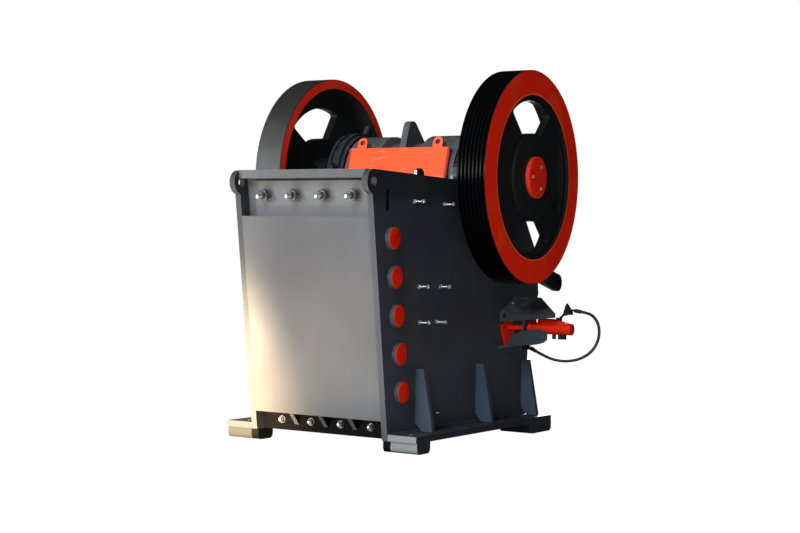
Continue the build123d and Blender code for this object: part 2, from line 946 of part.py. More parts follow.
def hose_line():
    """The hose's middle line: its points joined by runs and arcs as large as the runs allow."""
    points = [Vector(*point) for point in hose_route]
    radii = []
    for before, corner, after in zip(points, points[1:], points[2:]):
        run = min((corner - before).length, (after - corner).length)
        turn = radians((corner - before).get_angle(after - corner))
        radii.append(hose_run_share * run / tan(turn / 2))
    with BuildLine() as line:
        FilletPolyline(*points, radius=radii)
    print("hose radii:", [round(radius) for radius in radii])
    return line.wire()


def hose():
    """Hose from the valve's nut round and back to the port below the bracket."""
    line = hose_line()
    with BuildPart() as tube:
        with BuildSketch(Plane(origin=line @ 0, z_dir=line % 0)):
            Circle(hose_r)
        sweep(path=line)
    expected = line.length * 3.14159 * hose_r**2
    print("hose length:", round(line.length), "volume share:", round(tube.part.volume / expected, 3))
    return tube


def hose_start():
    """Plane on the hose's first end: it looks back along the hose, out of it."""
    first, second = Vector(*hose_route[0]), Vector(*hose_route[1])
    return Plane(origin=first, z_dir=first - second)


def hose_finish():
    """Plane on the hose's last end: it looks on along the hose, out of it."""
    last, before = Vector(*hose_route[-1]), Vector(*hose_route[-2])
    return Plane(origin=last, z_dir=last - before)


def hose_ends():
    """Ferrule and nut on each end of the hose."""
    with BuildPart() as ends:
        for seat in (hose_start(), hose_finish()):
            with BuildSketch(seat):
                Circle(ferrule_r)
            extrude(amount=ferrule_len)
            with BuildSketch(seat.offset(ferrule_len)):
                RegularPolygon(nut_r, 6)
            extrude(amount=nut_len)
    return ends


def cylinder_valve():
    """Lock valve over the cylinder's outer end, its post on the rail and the drains below."""
    post_x1 = valve_x - valve_post_gap + valve_post_w
    post_x0 = post_x1 - valve_post_w
    post_z = rail_top_z + valve_post_h
    drain_x = rail_x1 - drain_out
    drain_z = cylinder_z - cylinder_r - drain_depth
    block_x = rail_x1 - drain_block_out
    outlet = hose_start().offset(ferrule_len + nut_len)
    with BuildPart() as drains:
        with BuildSketch(Plane.XY.offset(drain_z)):
            with Locations((drain_x, cylinder_y)):
                Circle(drain_r)
            with Locations((block_x, cylinder_y)):
                Rectangle(drain_block_len, valve_post_w)
        extrude(amount=cylinder_z - drain_z)
        with Locations(((drain_x + block_x) / 2, cylinder_y, cylinder_z)):
            Cylinder(cylinder_r, cylinder_len, rotation=(0, 90, 0), mode=Mode.SUBTRACT)
    with BuildPart() as valve:
        add(drains.part)
        with BuildSketch(Plane.XZ.offset(valve_post_w / 2 - cylinder_y)):
            with BuildLine():
                Polyline(
                    (post_x0, rail_z(post_x0)),
                    (post_x1, rail_z(post_x1)),
                    (post_x1, post_z),
                    (post_x0, post_z),
                    close=True,
                )
            make_face()
        extrude(amount=-valve_post_w)
        with BuildSketch(Plane.XZ.offset(valve_t / 2 - valve_y)):
            with BuildLine():
                Polyline(
                    (valve_x - 30, valve_z - 46),
                    (valve_x + 8, valve_z - 36),
                    (valve_x + 52, valve_z - 32),
                    (valve_x + 46, valve_z - 4),
                    (valve_x + 10, valve_z + 50),
                    (valve_x - 4, valve_z + 48),
                    close=True,
                )
            make_face()
        extrude(amount=-valve_t)
        start = Vector((post_x0 + post_x1) / 2, cylinder_y, rail_top_z)
        middle = Vector(valve_x, valve_y, valve_z - 10)
        with BuildSketch(Plane(origin=start, z_dir=middle - start)):
            Circle(valve_pipe_r)
        extrude(amount=(middle - start).length)
        with BuildSketch(outlet):
            Circle(neck_r)
        extrude(amount=neck_len)
    return valve


def bracket_port():
    """Oil port below the bracket's floor, with its stub pipe towards the hose."""
    x0 = side_outer_x + port_out
    x1 = x0 + port_w
    low_z = bracket_under(x0) - port_h
    outlet = hose_finish().offset(ferrule_len + nut_len)
    with BuildPart() as port:
        with BuildSketch(Plane.XZ.offset(port_w / 2 - port_y)):
            with BuildLine():
                Polyline(
                    (x0, bracket_under(x0)),
                    (x1, bracket_under(x1)),
                    (x1, low_z),
                    (x0, low_z),
                    close=True,
                )
            make_face()
        extrude(amount=-port_w)
        with BuildSketch(outlet):
            Circle(neck_r)
        extrude(amount=stub_len)
    return port


def eccentric_shaft():
    """The shaft: wheel seats, spacer sleeves, journals and the eccentric middle."""
    sleeve_x = housing_x1 + seal_ring_t + open_gap
    half = (
        (wheel_x1, 0),
        (wheel_x1, wheel_seat_r),
        (hub_x0, wheel_seat_r),
        (hub_x0, sleeve_r),
        (sleeve_x, sleeve_r),
        (sleeve_x, journal_r),
    )
    section = [(-x, r) for x, r in half] + list(reversed(half))
    journals = turned(section, shaft_y, shaft_z)
    with BuildPart() as shaft:
        add(journals)
        with Locations((0, shaft_y, eccentric_z)):
            Cylinder(eccentric_r, 2 * (housing_x0 - open_gap), rotation=(0, 90, 0))
    return shaft


def wheel_section(grooved):
    """Half section of a flywheel: radius against X, from the bore round the rim."""
    bore = wheel_seat_r + running_fit
    points = [
        (hub_x0, bore),
        (wheel_x1, bore),
        (wheel_x1, hub_r - hub_draft),
        (web_x1, hub_r),
        (web_x1, rim_face_r),
        (wheel_x1, rim_face_r),
        (wheel_x1, wheel_r - wheel_chamfer),
        (wheel_x1 - wheel_chamfer, wheel_r),
    ]
    if grooved:
        middle = (wheel_x0 + wheel_x1) / 2
        for index in range(groove_count):
            x = middle + ((groove_count - 1) / 2 - index) * groove_pitch
            points.append((x + groove_w / 2, wheel_r))
            points.append((x + groove_floor_w / 2, wheel_r - groove_depth))
            points.append((x - groove_floor_w / 2, wheel_r - groove_depth))
            points.append((x - groove_w / 2, wheel_r))
    points += [
        (wheel_x0 + wheel_chamfer, wheel_r),
        (wheel_x0, wheel_r - wheel_chamfer),
        (wheel_x0, rim_inner_r),
        (web_x0, rim_inner_r - rim_draft),
        (web_x0, hub_r),
        (hub_x0, hub_r - hub_draft),
    ]
    return points


def flywheel(grooved):
    """A heavy flywheel with four openings between its spokes."""
    disc = turned(wheel_section(grooved), shaft_y, shaft_z)
    spoke_turn = grooved_spoke_turn if grooved else plain_spoke_turn
    with BuildPart() as wheel:
        add(disc)
        with BuildSketch(Plane.YZ.offset(web_x0)) as windows:
            with Locations((shaft_y, shaft_z)):
                Circle(rim_face_r - window_rim_gap)
                Circle(hub_r + window_hub_gap, mode=Mode.SUBTRACT)
                for turn in (45 + spoke_turn, 135 + spoke_turn):
                    Rectangle(2 * wheel_r, spoke_w, rotation=turn, mode=Mode.SUBTRACT)
            fillet(windows.vertices(), radius=window_corner)
        extrude(amount=web_t, mode=Mode.SUBTRACT)
    return wheel


def hub_cap():
    """Round cover plate over the shaft's end."""
    with BuildPart() as cap:
        with BuildSketch(Plane.YZ.offset(wheel_x1)):
            with Locations((shaft_y, shaft_z)):
                Circle(hub_r - hub_cap_inset)
        extrude(amount=hub_cap_t)
    return cap


def swing_jaw():
    """Barrel of the swing jaw: bored for the eccentric, with its eye and the guard's ribs."""
    bore = eccentric_r + running_fit
    land_x = barrel_half_w - land_w
    relief_x = land_x - relief_step
    section = (
        (-barrel_half_w, bore),
        *barrel_outline(barrel_half_w),
        (barrel_half_w, bore),
        (land_x, bore),
        (relief_x, relief_r),
        (-relief_x, relief_r),
        (-land_x, bore),
    )
    barrel = turned(section, shaft_y, eccentric_z)
    eye = barrel_eye()
    rib_low = guard_low_z + guard_rib_margin
    rib_high = guard_top_z - guard_rib_margin
    with BuildPart() as casting:
        add(barrel)
        with BuildSketch(Plane.YZ.offset(-lug_t / 2)):
            add(eye)
        extrude(amount=lug_t)
        for x in (guard_rib_inset - guard_half_w, guard_half_w - guard_rib_inset):
            with BuildSketch(Plane.YZ.offset(x - guard_rib_t / 2)):
                with BuildLine():
                    Polyline(
                        (guard_y(rib_low, guard_t), rib_low),
                        (guard_y(rib_high, guard_t), rib_high),
                        (guard_top_y + guard_rib_back, rib_high),
                        (shaft_y, eccentric_z + barrel_mid_r),
                        (shaft_y, rib_low),
                        close=True,
                    )
                make_face()
            extrude(amount=guard_rib_t)
        with Locations((0, shaft_y, eccentric_z)):
            Cylinder(bore, 2 * barrel_half_w, rotation=(0, 90, 0), mode=Mode.SUBTRACT)
            Cylinder(relief_r, 2 * relief_x, rotation=(0, 90, 0), mode=Mode.SUBTRACT)
    return casting


def guard_y(z, behind=0.0):
    """Y of the guard plate's front face at height z, or of a line square behind it."""
    run = tan(radians(guard_tilt))
    return guard_top_y - (guard_top_z - z) * run + behind / cos(radians(guard_tilt))


def jaw_guard_plate():
    """Guard plate over the front of the barrel, with two lifting eyes on its top edge."""
    length = guard_h / cos(radians(guard_tilt))
    eye_x = guard_half_w - guard_eye_inset
    face = Plane(
        origin=(0, guard_y(guard_low_z), guard_low_z),
        x_dir=(1, 0, 0),
        z_dir=(0, -cos(radians(guard_tilt)), sin(radians(guard_tilt))),
    )
    with BuildPart() as guard:
        with BuildSketch(face):
            with Locations((0, length / 2)):
                Rectangle(2 * guard_half_w, length)
            with Locations((-eye_x, length + guard_eye_rise / 2), (eye_x, length + guard_eye_rise / 2)):
                Rectangle(2 * guard_eye_r, guard_eye_rise)
            with Locations((-eye_x, length + guard_eye_rise), (eye_x, length + guard_eye_rise)):
                Circle(guard_eye_r)
                Circle(guard_eye_hole_r, mode=Mode.SUBTRACT)
        extrude(amount=-guard_t)
    return guard


def wedge():
    """Right-hand wedge: thick at its outer end, its front face sloping across X."""
    thick_front = -wedge_t / 2
    thin_front = thick_front + (wedge_out_x - wedge_in_x) * tan(radians(wedge_angle))
    with BuildPart() as block:
        with BuildSketch(wedge_plane(-wedge_h / 2)):
            with BuildLine():
                Polyline(
                    (wedge_in_x, wedge_t / 2),
                    (wedge_in_x, thin_front),
                    (wedge_out_x, thick_front),
                    (wedge_out_x, wedge_t / 2),
                    close=True,
                )
            make_face()
        extrude(amount=wedge_h)
    return block


def wedge_rod():
    """Rod from the wedge's outer end into the adjusting cylinder, with its piston."""
    piston_x = cylinder_x0 + rod_in
    with BuildPart() as rod:
        with BuildSketch(Plane.YZ.offset(wedge_out_x)):
            with Locations((cylinder_y, cylinder_z)):
                Circle(rod_r)
        extrude(amount=piston_x - wedge_out_x)
        with BuildSketch(Plane.YZ.offset(piston_x)):
            with Locations((cylinder_y, cylinder_z)):
                Circle(cylinder_r - cylinder_wall - running_fit)
        extrude(amount=piston_t)
    return rod


def toggle_seat_block():
    """Block that carries the toggle's rear end and bears on both wedges."""
    outer = -wedge_t / 2 + (wedge_out_x - seat_half_w) * tan(radians(wedge_angle)) - seat_fit
    inner = -wedge_t / 2 + (wedge_out_x - wedge_in_x) * tan(radians(wedge_angle)) - seat_fit
    with BuildPart() as block:
        with BuildSketch(wedge_plane(-wedge_h / 2)):
            with BuildLine():
                Polyline(
                    (-seat_half_w, -seat_front),
                    (seat_half_w, -seat_front),
                    (seat_half_w, outer),
                    (wedge_in_x, inner),
                    (-wedge_in_x, inner),
                    (-seat_half_w, outer),
                    close=True,
                )
            make_face()
        extrude(amount=wedge_h)
        with BuildSketch(thrust_plane(-seat_half_w)):
            with Locations((-seat_front, 0)):
                Circle(toggle_end_r + seat_fit)
        extrude(amount=2 * seat_half_w, mode=Mode.SUBTRACT)
    return block


def toggle_plate():
    """Toggle plate with a round bead along both ends."""
    with BuildPart() as plate:
        with BuildSketch(thrust_plane(-toggle_half_w)):
            with Locations((-seat_front - toggle_len / 2, 0)):
                Rectangle(toggle_len, toggle_t)
            with Locations((-seat_front, 0), (-seat_front - toggle_len, 0)):
                Circle(toggle_end_r)
        extrude(amount=2 * toggle_half_w)
    return plate


def rear_arm():
    """Outline of the lifting arm at the side plate's rear, drawn taut round its eye."""
    with BuildSketch() as arm:
        with Locations((rear_lug_y, rear_lug_z)):
            Circle(rear_lug_r)
        with Locations((rear_neck_y - tack_bite, rear_root_z)):
            Rectangle(2 * tack_bite, rear_root_h)
        make_hull()
    return arm.sketch


def cap_eye():
    """Outline of the lifting eye on a bearing cap, drawn taut from a foot on the housing."""
    along = cos(radians(cap_eye_turn))
    upward = sin(radians(cap_eye_turn))
    foot_r = housing_r - tack_bite
    with BuildSketch() as eye:
        with Locations((shaft_y + cap_eye_reach * along, shaft_z + cap_eye_reach * upward)):
            Circle(cap_eye_r)
        with Locations((shaft_y + foot_r * along, shaft_z + foot_r * upward)):
            Rectangle(tack_bite, 2 * cap_eye_foot, rotation=cap_eye_turn)
        make_hull()
        with Locations((shaft_y + cap_eye_reach * along, shaft_z + cap_eye_reach * upward)):
            Circle(cap_eye_hole_r, mode=Mode.SUBTRACT)
    return eye.sketch


def barrel_outline(half_w, gap=0.0):
    """Outer half section of the swing jaw's barrel with its waist: radius against X."""
    return (
        (-half_w, barrel_r + gap),
        (barrel_mid_x0 - barrel_step, barrel_r + gap),
        (barrel_mid_x0, barrel_mid_r + gap),
        (barrel_mid_x1, barrel_mid_r + gap),
        (barrel_mid_x1 + barrel_step, barrel_r + gap),
        (half_w, barrel_r + gap),
    )


def barrel_room():
    """The space that the barrel fills, with the seat's clearance, to cut from what meets it."""
    half_w = moving_half_w + open_gap
    return turned(((-half_w, 0), *barrel_outline(half_w, seat_fit), (half_w, 0)), shaft_y, eccentric_z)


def barrel_eye():
    """Outline of the big lifting eye on the barrel, drawn taut from a broad foot."""
    foot_y = shaft_y + (lug_foot_behind - lug_foot_ahead) / 2
    foot_h = lug_foot_top - lug_foot_low
    with BuildSketch() as eye:
        with Locations((shaft_y - lug_ahead, shaft_z + lug_rise)):
            Circle(lug_r)
        with Locations((foot_y, eccentric_z + lug_foot_low + foot_h / 2)):
            Rectangle(lug_foot_ahead + lug_foot_behind, foot_h)
        make_hull()
        with Locations((shaft_y - lug_ahead, shaft_z + lug_rise)):
            Circle(lug_hole_r, mode=Mode.SUBTRACT)
    return eye.sketch


def jaw_front_wall():
    """Front wall of the swing jaw, with the toggle's seat across its lower rear edge."""
    back = jaw_t + jaw_wall_t
    seat_low = seat_corner(-jaw_seat_h / 2)
    seat_high = seat_corner(jaw_seat_h / 2)
    foot_z = seat_high.Z + jaw_seat_rise
    socket = thrust_plane(0).from_local_coords((-seat_front - toggle_len, 0, 0))
    room = barrel_room()
    with BuildPart() as wall:
        with BuildSketch(Plane.YZ.offset(-moving_half_w)):
            with BuildLine():
                Polyline(
                    (moving_y(moving_low_z, jaw_t), moving_low_z),
                    (moving_y(moving_low_z, back), moving_low_z),
                    (moving_y(moving_face_top_z, back), moving_face_top_z),
                    (moving_y(moving_face_top_z, jaw_t), moving_face_top_z),
                    close=True,
                )
            make_face()
        extrude(amount=2 * moving_half_w)
        with BuildSketch(Plane.YZ.offset(jaw_seat_inset - moving_half_w)):
            with BuildLine():
                Polyline(
                    (moving_y(moving_low_z, back - tack_bite), moving_low_z),
                    (seat_low.Y, seat_low.Z),
                    (seat_high.Y, seat_high.Z),
                    (moving_y(foot_z, back), foot_z),
                    (moving_y(foot_z, back - tack_bite), foot_z),
                    close=True,
                )
            make_face()
            with Locations((socket.Y, socket.Z - throw)):
                Circle(toggle_end_r + throw + open_gap, mode=Mode.SUBTRACT)
        extrude(amount=2 * (moving_half_w - jaw_seat_inset))
        add(room, mode=Mode.SUBTRACT)
    return wall


def seat_corner(up):
    """Corner of the toggle's seat on the swing jaw, that far above the toggle's line."""
    return thrust_plane(0).from_local_coords((-seat_front - toggle_len - jaw_seat_lip, up, 0))


def jaw_ribs():
    """Upright ribs of the swing jaw, between its front wall, barrel and toggle seat."""
    back = jaw_t + jaw_wall_t
    seat_high = seat_corner(jaw_seat_h / 2)
    foot_z = seat_high.Z + jaw_seat_rise
    room = barrel_room()
    with BuildPart() as ribs:
        for index in (-2, -1, 0, 1, 2):
            with BuildSketch(Plane.YZ.offset(index * jaw_rib_pitch - jaw_rib_t / 2)):
                with BuildLine():
                    Polyline(
                        (moving_y(foot_z, back), foot_z),
                        (seat_high.Y, seat_high.Z),
                        (shaft_y + jaw_rib_back, shaft_z - jaw_rib_drop),
                        (shaft_y, eccentric_z),
                        (moving_y(moving_face_top_z, back), moving_face_top_z),
                        close=True,
                    )
                make_face()
            extrude(amount=jaw_rib_t)
        add(room, mode=Mode.SUBTRACT)
    return ribs


os.makedirs("parts", exist_ok=True)

save_pair(side_plate(), "side_plate")
save(front_skin(), "front_skin")
save(front_top_beam(), "front_top_beam")
save(jaw_backing_plate(), "jaw_backing_plate")
save(front_wall_ribs(), "front_wall_ribs")
save(lower_front_beam(), "lower_front_beam")
save_pair(tie_bosses(), "tie_bosses")
save_pair(base_flange(), "base_flange")
save_pair(base_gussets(), "base_gussets")
save(base_pads(-anchor_y, front_pad_len), "base_pads_front")
save(base_pads(anchor_y, rear_pad_len), "base_pads_rear")
save(fixed_jaw_plate(), "fixed_jaw_plate")
save_pair(cheek_plates(), "cheek_plates")
save_pair(bearing_half(False), "bearing_block")
save_pair(bearing_half(True), "bearing_cap")
save(rear_wall(), "rear_wall")
save(toggle_beam(), "toggle_beam")
save(rear_low_tie(), "rear_low_tie")
save_pair(wedge_hood(), "wedge_hood")
save_pair(cylinder_bracket(), "cylinder_bracket")
save_pair(cylinder_barrel(), "cylinder_barrel")
save(both_sides(cylinder_valve()), "cylinder_valves")
save(both_sides(bracket_port()), "bracket_ports")
save(hose(), "hose")
save(hose_ends(), "hose_ends")

save(eccentric_shaft(), "eccentric_shaft")
save(flywheel(True), "flywheel_grooved")
plain_wheel = flywheel(False)
with BuildPart() as flywheel_plain:
    mirror(plain_wheel.part, about=Plane.YZ)
save(flywheel_plain, "flywheel_plain")
save_pair(hub_cap(), "hub_cap")

save(swing_jaw(), "swing_jaw")
save(jaw_front_wall(), "jaw_front_wall")
save(jaw_ribs(), "jaw_ribs")
save(moving_jaw_plate(), "moving_jaw_plate")
save(jaw_guard_plate(), "jaw_guard_plate")

save_pair(wedge(), "wedge")
save_pair(wedge_rod(), "wedge_rod")
save(toggle_seat_block(), "toggle_seat_block")
save(toggle_plate(), "toggle_plate")
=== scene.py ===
import json
import math

import bmesh
import bpy
import numpy as np
from mathutils import Matrix, Vector


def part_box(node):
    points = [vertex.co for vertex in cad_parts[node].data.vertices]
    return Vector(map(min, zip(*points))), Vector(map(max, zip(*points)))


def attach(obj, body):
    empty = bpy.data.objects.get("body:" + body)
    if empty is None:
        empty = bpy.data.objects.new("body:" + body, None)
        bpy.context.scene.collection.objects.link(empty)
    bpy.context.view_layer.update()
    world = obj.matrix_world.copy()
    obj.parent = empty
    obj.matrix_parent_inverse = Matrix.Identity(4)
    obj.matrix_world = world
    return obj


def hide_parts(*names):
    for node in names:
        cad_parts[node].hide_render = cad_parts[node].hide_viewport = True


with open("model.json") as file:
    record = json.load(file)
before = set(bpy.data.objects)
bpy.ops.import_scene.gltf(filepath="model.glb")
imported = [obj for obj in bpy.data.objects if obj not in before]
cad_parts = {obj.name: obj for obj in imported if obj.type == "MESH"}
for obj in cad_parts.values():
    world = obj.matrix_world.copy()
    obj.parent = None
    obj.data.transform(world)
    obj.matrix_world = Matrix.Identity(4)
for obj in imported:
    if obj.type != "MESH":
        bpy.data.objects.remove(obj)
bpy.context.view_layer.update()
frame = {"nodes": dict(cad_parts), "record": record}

PI = math.pi

# Camera, as solved from the frame's edges in the photograph
CAMERA_PLACE = Vector((6.6427, -11.1499, 1.4486))
CAMERA_YAW = 0.5358
CAMERA_PITCH = 0.0006
CAMERA_ROLL = 0.026
CAMERA_LENS = 67.85
SENSOR_WIDTH = 36.0


def make_camera():
    """The photograph's eye: forward turned by the yaw and pitch, then rolled about itself."""
    forward = Vector((
        -math.sin(CAMERA_YAW) * math.cos(CAMERA_PITCH),
        math.cos(CAMERA_YAW) * math.cos(CAMERA_PITCH),
        -math.sin(CAMERA_PITCH),
    ))
    level = Vector((math.cos(CAMERA_YAW), math.sin(CAMERA_YAW), 0.0))
    upright = level.cross(forward)
    right = level * math.cos(CAMERA_ROLL) + upright * math.sin(CAMERA_ROLL)
    up = upright * math.cos(CAMERA_ROLL) - level * math.sin(CAMERA_ROLL)
    data = bpy.data.cameras.new("camera")
    data.sensor_width = SENSOR_WIDTH
    data.lens = CAMERA_LENS
    data.clip_end = 200.0
    camera = bpy.data.objects.new("camera", data)
    bpy.context.scene.collection.objects.link(camera)
    turn = Matrix((right, up, -forward)).transposed().to_4x4()
    camera.matrix_world = Matrix.Translation(CAMERA_PLACE) @ turn
    bpy.context.scene.camera = camera


make_camera()

# Hose: its route's points as in the part's source, in metres
HOSE_ROUTE = (
    (1.313, 0.934, 1.087),
    (1.366, 0.978, 1.077),
    (1.410, 1.015, 1.037),
    (1.437, 1.038, 0.970),
    (1.442, 1.042, 0.882),
    (1.422, 1.020, 0.791),
    (1.362, 1.000, 0.715),
    (1.278, 0.975, 0.667),
    (1.182, 0.950, 0.648),
    (1.080, 0.928, 0.653),
    (0.986, 0.912, 0.684),
    (0.903, 0.902, 0.726),
)
HOSE_RADIUS = 0.013


def make_hose():
    """The hose: a NURBS line with the route's points as its control points, given roundness."""
    curve = bpy.data.curves.new("hydraulic_hose", "CURVE")
    curve.dimensions = "3D"
    spline = curve.splines.new("NURBS")
    spline.points.add(len(HOSE_ROUTE) - 1)
    for point, place in zip(spline.points, HOSE_ROUTE):
        point.co = (*place, 1.0)
    spline.order_u = 3
    spline.use_endpoint_u = True
    spline.resolution_u = 10
    curve.bevel_depth = HOSE_RADIUS
    curve.bevel_resolution = 5
    curve.use_fill_caps = True
    hose = bpy.data.objects.new("hydraulic_hose", curve)
    bpy.context.scene.collection.objects.link(hose)
    return hose


hose = make_hose()

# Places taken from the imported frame, in metres: the shaft's line, the side plates' outer, inner
# and middle planes, the leans of the front and the thrust line, and the tops of flanges and plates
SHAFT = Vector((0.0, 0.330, 2.219))
SIDE_X = 0.645
INNER_X = 0.595
PLATE_X = 0.620
FRONT_TILT = math.radians(9.27)
THRUST_TILT = math.radians(27.0)
FLANGE_Z = 0.140
TOP_Z = 2.175
RECESS_SETBACK = 0.120
TIE_SETBACK = 0.234
FORWARD = (0.0, -1.0, 0.0)
UPWARD = (0.0, 0.0, 1.0)


def front_y(z, setback=0.0):
    """How far forward the sloping front stands at height z, less a setback."""
    return -1.170 - (z - 0.090) * math.tan(FRONT_TILT) + setback


class Wire:
    """One output of a material's nodes. Arithmetic on it adds Math nodes."""

    def __init__(self, paint, socket):
        self.paint = paint
        self.socket = socket

    def math(self, operation, *others):
        return self.paint.node("ShaderNodeMath", {"operation": operation}, (self, *others))

    def __add__(self, other):
        return self.math("ADD", other)

    def __sub__(self, other):
        return self.math("SUBTRACT", other)

    def __mul__(self, other):
        return self.math("MULTIPLY", other)

    def __rsub__(self, other):
        return self.paint.node("ShaderNodeMath", {"operation": "SUBTRACT"}, (other, self))

    def __gt__(self, other):
        return self.math("GREATER_THAN", other)

    def __lt__(self, other):
        return self.math("LESS_THAN", other)

    __radd__ = __add__

    def size(self):
        return self.math("ABSOLUTE")

    def sign(self):
        return self.math("SIGN")

    def root(self):
        return self.math("SQRT")

    def either(self, other):
        return self.math("MAXIMUM", other)

    def between(self, limits):
        """1 between two limits and 0 elsewhere."""
        return (self > limits[0]) * (self < limits[1])


class Paint:
    """A material in the making: its node tree, its surface shader and short ways to add nodes."""

    def __init__(self, name, shine=0.5):
        self.material = bpy.data.materials.new(name)
        self.material.use_nodes = True
        self.tree = self.material.node_tree
        self.shader = self.tree.nodes["Principled BSDF"]
        self.shader.inputs["Specular IOR Level"].default_value = shine

    def node(self, kind, settings=None, values=(), output=0):
        """Add a node of that type, set its settings, then its inputs by name or by place."""
        made = self.tree.nodes.new(kind)
        for key, value in (settings or {}).items():
            setattr(made, key, value)
        pairs = values.items() if isinstance(values, dict) else enumerate(values)
        for key, value in pairs:
            self.feed(made.inputs[key], value)
        return Wire(self, made.outputs[output])

    def feed(self, socket, value):
        if isinstance(value, Wire):
            self.tree.links.new(value.socket, socket)
        else:
            socket.default_value = value

    def place(self):
        """The point in the machine's own frame, as Object coordinates."""
        return self.node("ShaderNodeTexCoord", output="Object")

    def parts(self, vector):
        """The three numbers of a vector."""
        split = self.node("ShaderNodeSeparateXYZ", None, (vector,))
        return [Wire(self, out) for out in split.socket.node.outputs]

    def facing(self):
        """The surface's outward direction, as three numbers."""
        return self.parts(self.node("ShaderNodeNewGeometry", output="Normal"))

    def stretched(self, scale):
        """The point with each axis scaled, for streaks and brushed marks."""
        return self.node("ShaderNodeMapping", None, {"Vector": self.place(), "Scale": scale})

    def noise(self, scale, detail=3.0, rough=0.55, where=None, distortion=0.0):
        """Smooth noise between 0 and 1 at that many lumps a metre."""
        values = {"Vector": where or self.place(), "Scale": scale, "Detail": detail}
        values |= {"Roughness": rough, "Distortion": distortion}
        return self.node("ShaderNodeTexNoise", None, values)

    def ramp(self, value, low, high):
        """0 below low, 1 above high and a smooth step between."""
        settings = {"interpolation_type": "SMOOTHSTEP"}
        values = {"Value": value, "From Min": low, "From Max": high}
        return self.node("ShaderNodeMapRange", settings, values)

    def blend(self, amount, first, second):
        """A colour that goes from first to second as amount goes from 0 to 1."""
        made = self.tree.nodes.new("ShaderNodeMix")
        made.data_type = "RGBA"
        self.feed(made.inputs[0], amount)
        self.feed(made.inputs[6], first if isinstance(first, Wire) else (*first, 1.0))
        self.feed(made.inputs[7], second if isinstance(second, Wire) else (*second, 1.0))
        return Wire(self, made.outputs[2])

    def finish(self, color, roughness, metallic=None, bump=None, depth=0.001, strength=0.4):
        """Feed the surface shader's colour, roughness, metal share and bump."""
        self.feed(self.shader.inputs["Base Color"], color if isinstance(color, Wire) else (*color, 1.0))
        self.feed(self.shader.inputs["Roughness"], roughness)
        if metallic is not None:
            self.feed(self.shader.inputs["Metallic"], metallic)
        if bump is not None:
            values = {"Height": bump, "Distance": depth, "Strength": strength}
            self.feed(self.shader.inputs["Normal"], self.node("ShaderNodeBump", None, values))
        return self.material


# Colours, as linear light
GREY = (0.031, 0.032, 0.035)
GREY_LIGHT = (0.046, 0.047, 0.050)
SIDE_GREY = (0.026, 0.026, 0.031)
# Bluer copies of the frame grey: painted skylight in shade
GREY_BLUE = (0.032, 0.040, 0.054)
GREY_BLUE_LIGHT = (0.044, 0.054, 0.070)
# Bare tread of the plain wheel: grey, darkening upwards as a painted reflection
RIM_GREY = (0.058, 0.059, 0.061)
RIM_TOP_REFLECTION = (0.020, 0.017, 0.014)
DUST = (0.20, 0.18, 0.15)
BLACK = (0.0028, 0.0028, 0.0031)
BLACK_WORN = (0.0065, 0.0065, 0.0070)
SHADE_BLACK = (0.0010, 0.0010, 0.0010)
WEB_BLACK = (0.0082, 0.0079, 0.0076)
WEB_WORN = (0.0130, 0.0127, 0.0124)
# Blue-grey low inside the rim: dust and painted skylight
WELL_BLUE = (0.055, 0.070, 0.078)
RED = (0.86, 0.017, 0.0020)
RED_DULL = (0.55, 0.020, 0.0060)
# Pale red: painted highlight on the ring's inner edge, and painted sheen with wear on the red
RED_SHEEN_HIGHLIGHT = (0.95, 0.110, 0.0300)
RED_SHADED = (0.12, 0.006, 0.003)
BOSS_RED = (0.62, 0.013, 0.001)
BOSS_GREASE = (0.10, 0.008, 0.003)
COVER_SIDE_RED = (0.55, 0.030, 0.012)
CYLINDER_RED = (0.52, 0.012, 0.001)
ORANGE = (0.80, 0.066, 0.0140)
ORANGE_PALE = (0.95, 0.220, 0.1300)
ORANGE_SHADED = (0.22, 0.020, 0.007)
NAVY = (0.006, 0.008, 0.020)
# Paler grey that the front wall's painted light blends towards
PAINTED_LIGHT_GREY = (0.074, 0.075, 0.074)
# Painted light on the ribs' front edges
RIB_EDGE_LIGHT = (0.055, 0.052, 0.048)
FOOT_DARK = (0.014, 0.014, 0.016)
# Front faces of the feet: painted light
FOOT_FRONT_LIGHT = (0.165, 0.162, 0.152)
FOOT_FRONT_LIGHT_DIM = (0.125, 0.124, 0.120)
# Greys for the front faces on the left, which get no painted light
LEFT_FLANGE_GREY = (0.036, 0.038, 0.041)
LEFT_PAD_GREY = (0.022, 0.022, 0.023)


def dusty(paint, base, amount):
    """Dust gathered on what faces up, broken by noise."""
    level = paint.ramp(paint.facing()[2], 0.35, 0.95) * paint.ramp(paint.noise(9.0, 5.0), 0.35, 0.7)
    return paint.blend(level * amount, base, DUST)


# Heights of the upper recess's lower and upper edge
RECESS_Z = (1.815, 2.095)


def front_painted_light(paint):
    """How much painted light the front wall gets: towards the left, the foot and, most of all, in the
    recess, where the lamps leave it in shade.
    """
    x, y, z = paint.parts(paint.place())
    left = paint.ramp(x, -0.15, -0.60) * paint.ramp(z, 0.5, 1.0) * 0.6
    low = paint.ramp(x, -0.45, 0.10) * paint.ramp(z, 0.9, 0.3) * 0.22
    return (left + low).either(z.between(RECESS_Z) * 0.95)


def weather(paint):
    """Faint cloudiness, and drips down the walls."""
    cloud = paint.ramp(paint.noise(1.6, 4.0), 0.3, 0.75)
    drips = paint.noise(1.0, 4.0, where=paint.stretched((9.0, 9.0, 0.7)))
    return cloud, paint.ramp(drips, 0.45, 0.8)


def sprayed(paint):
    """Height of sprayed paint: a fine grain on a slow wave."""
    return paint.noise(420.0, 2.0) * 0.35 + paint.noise(26.0, 2.0) * 0.65


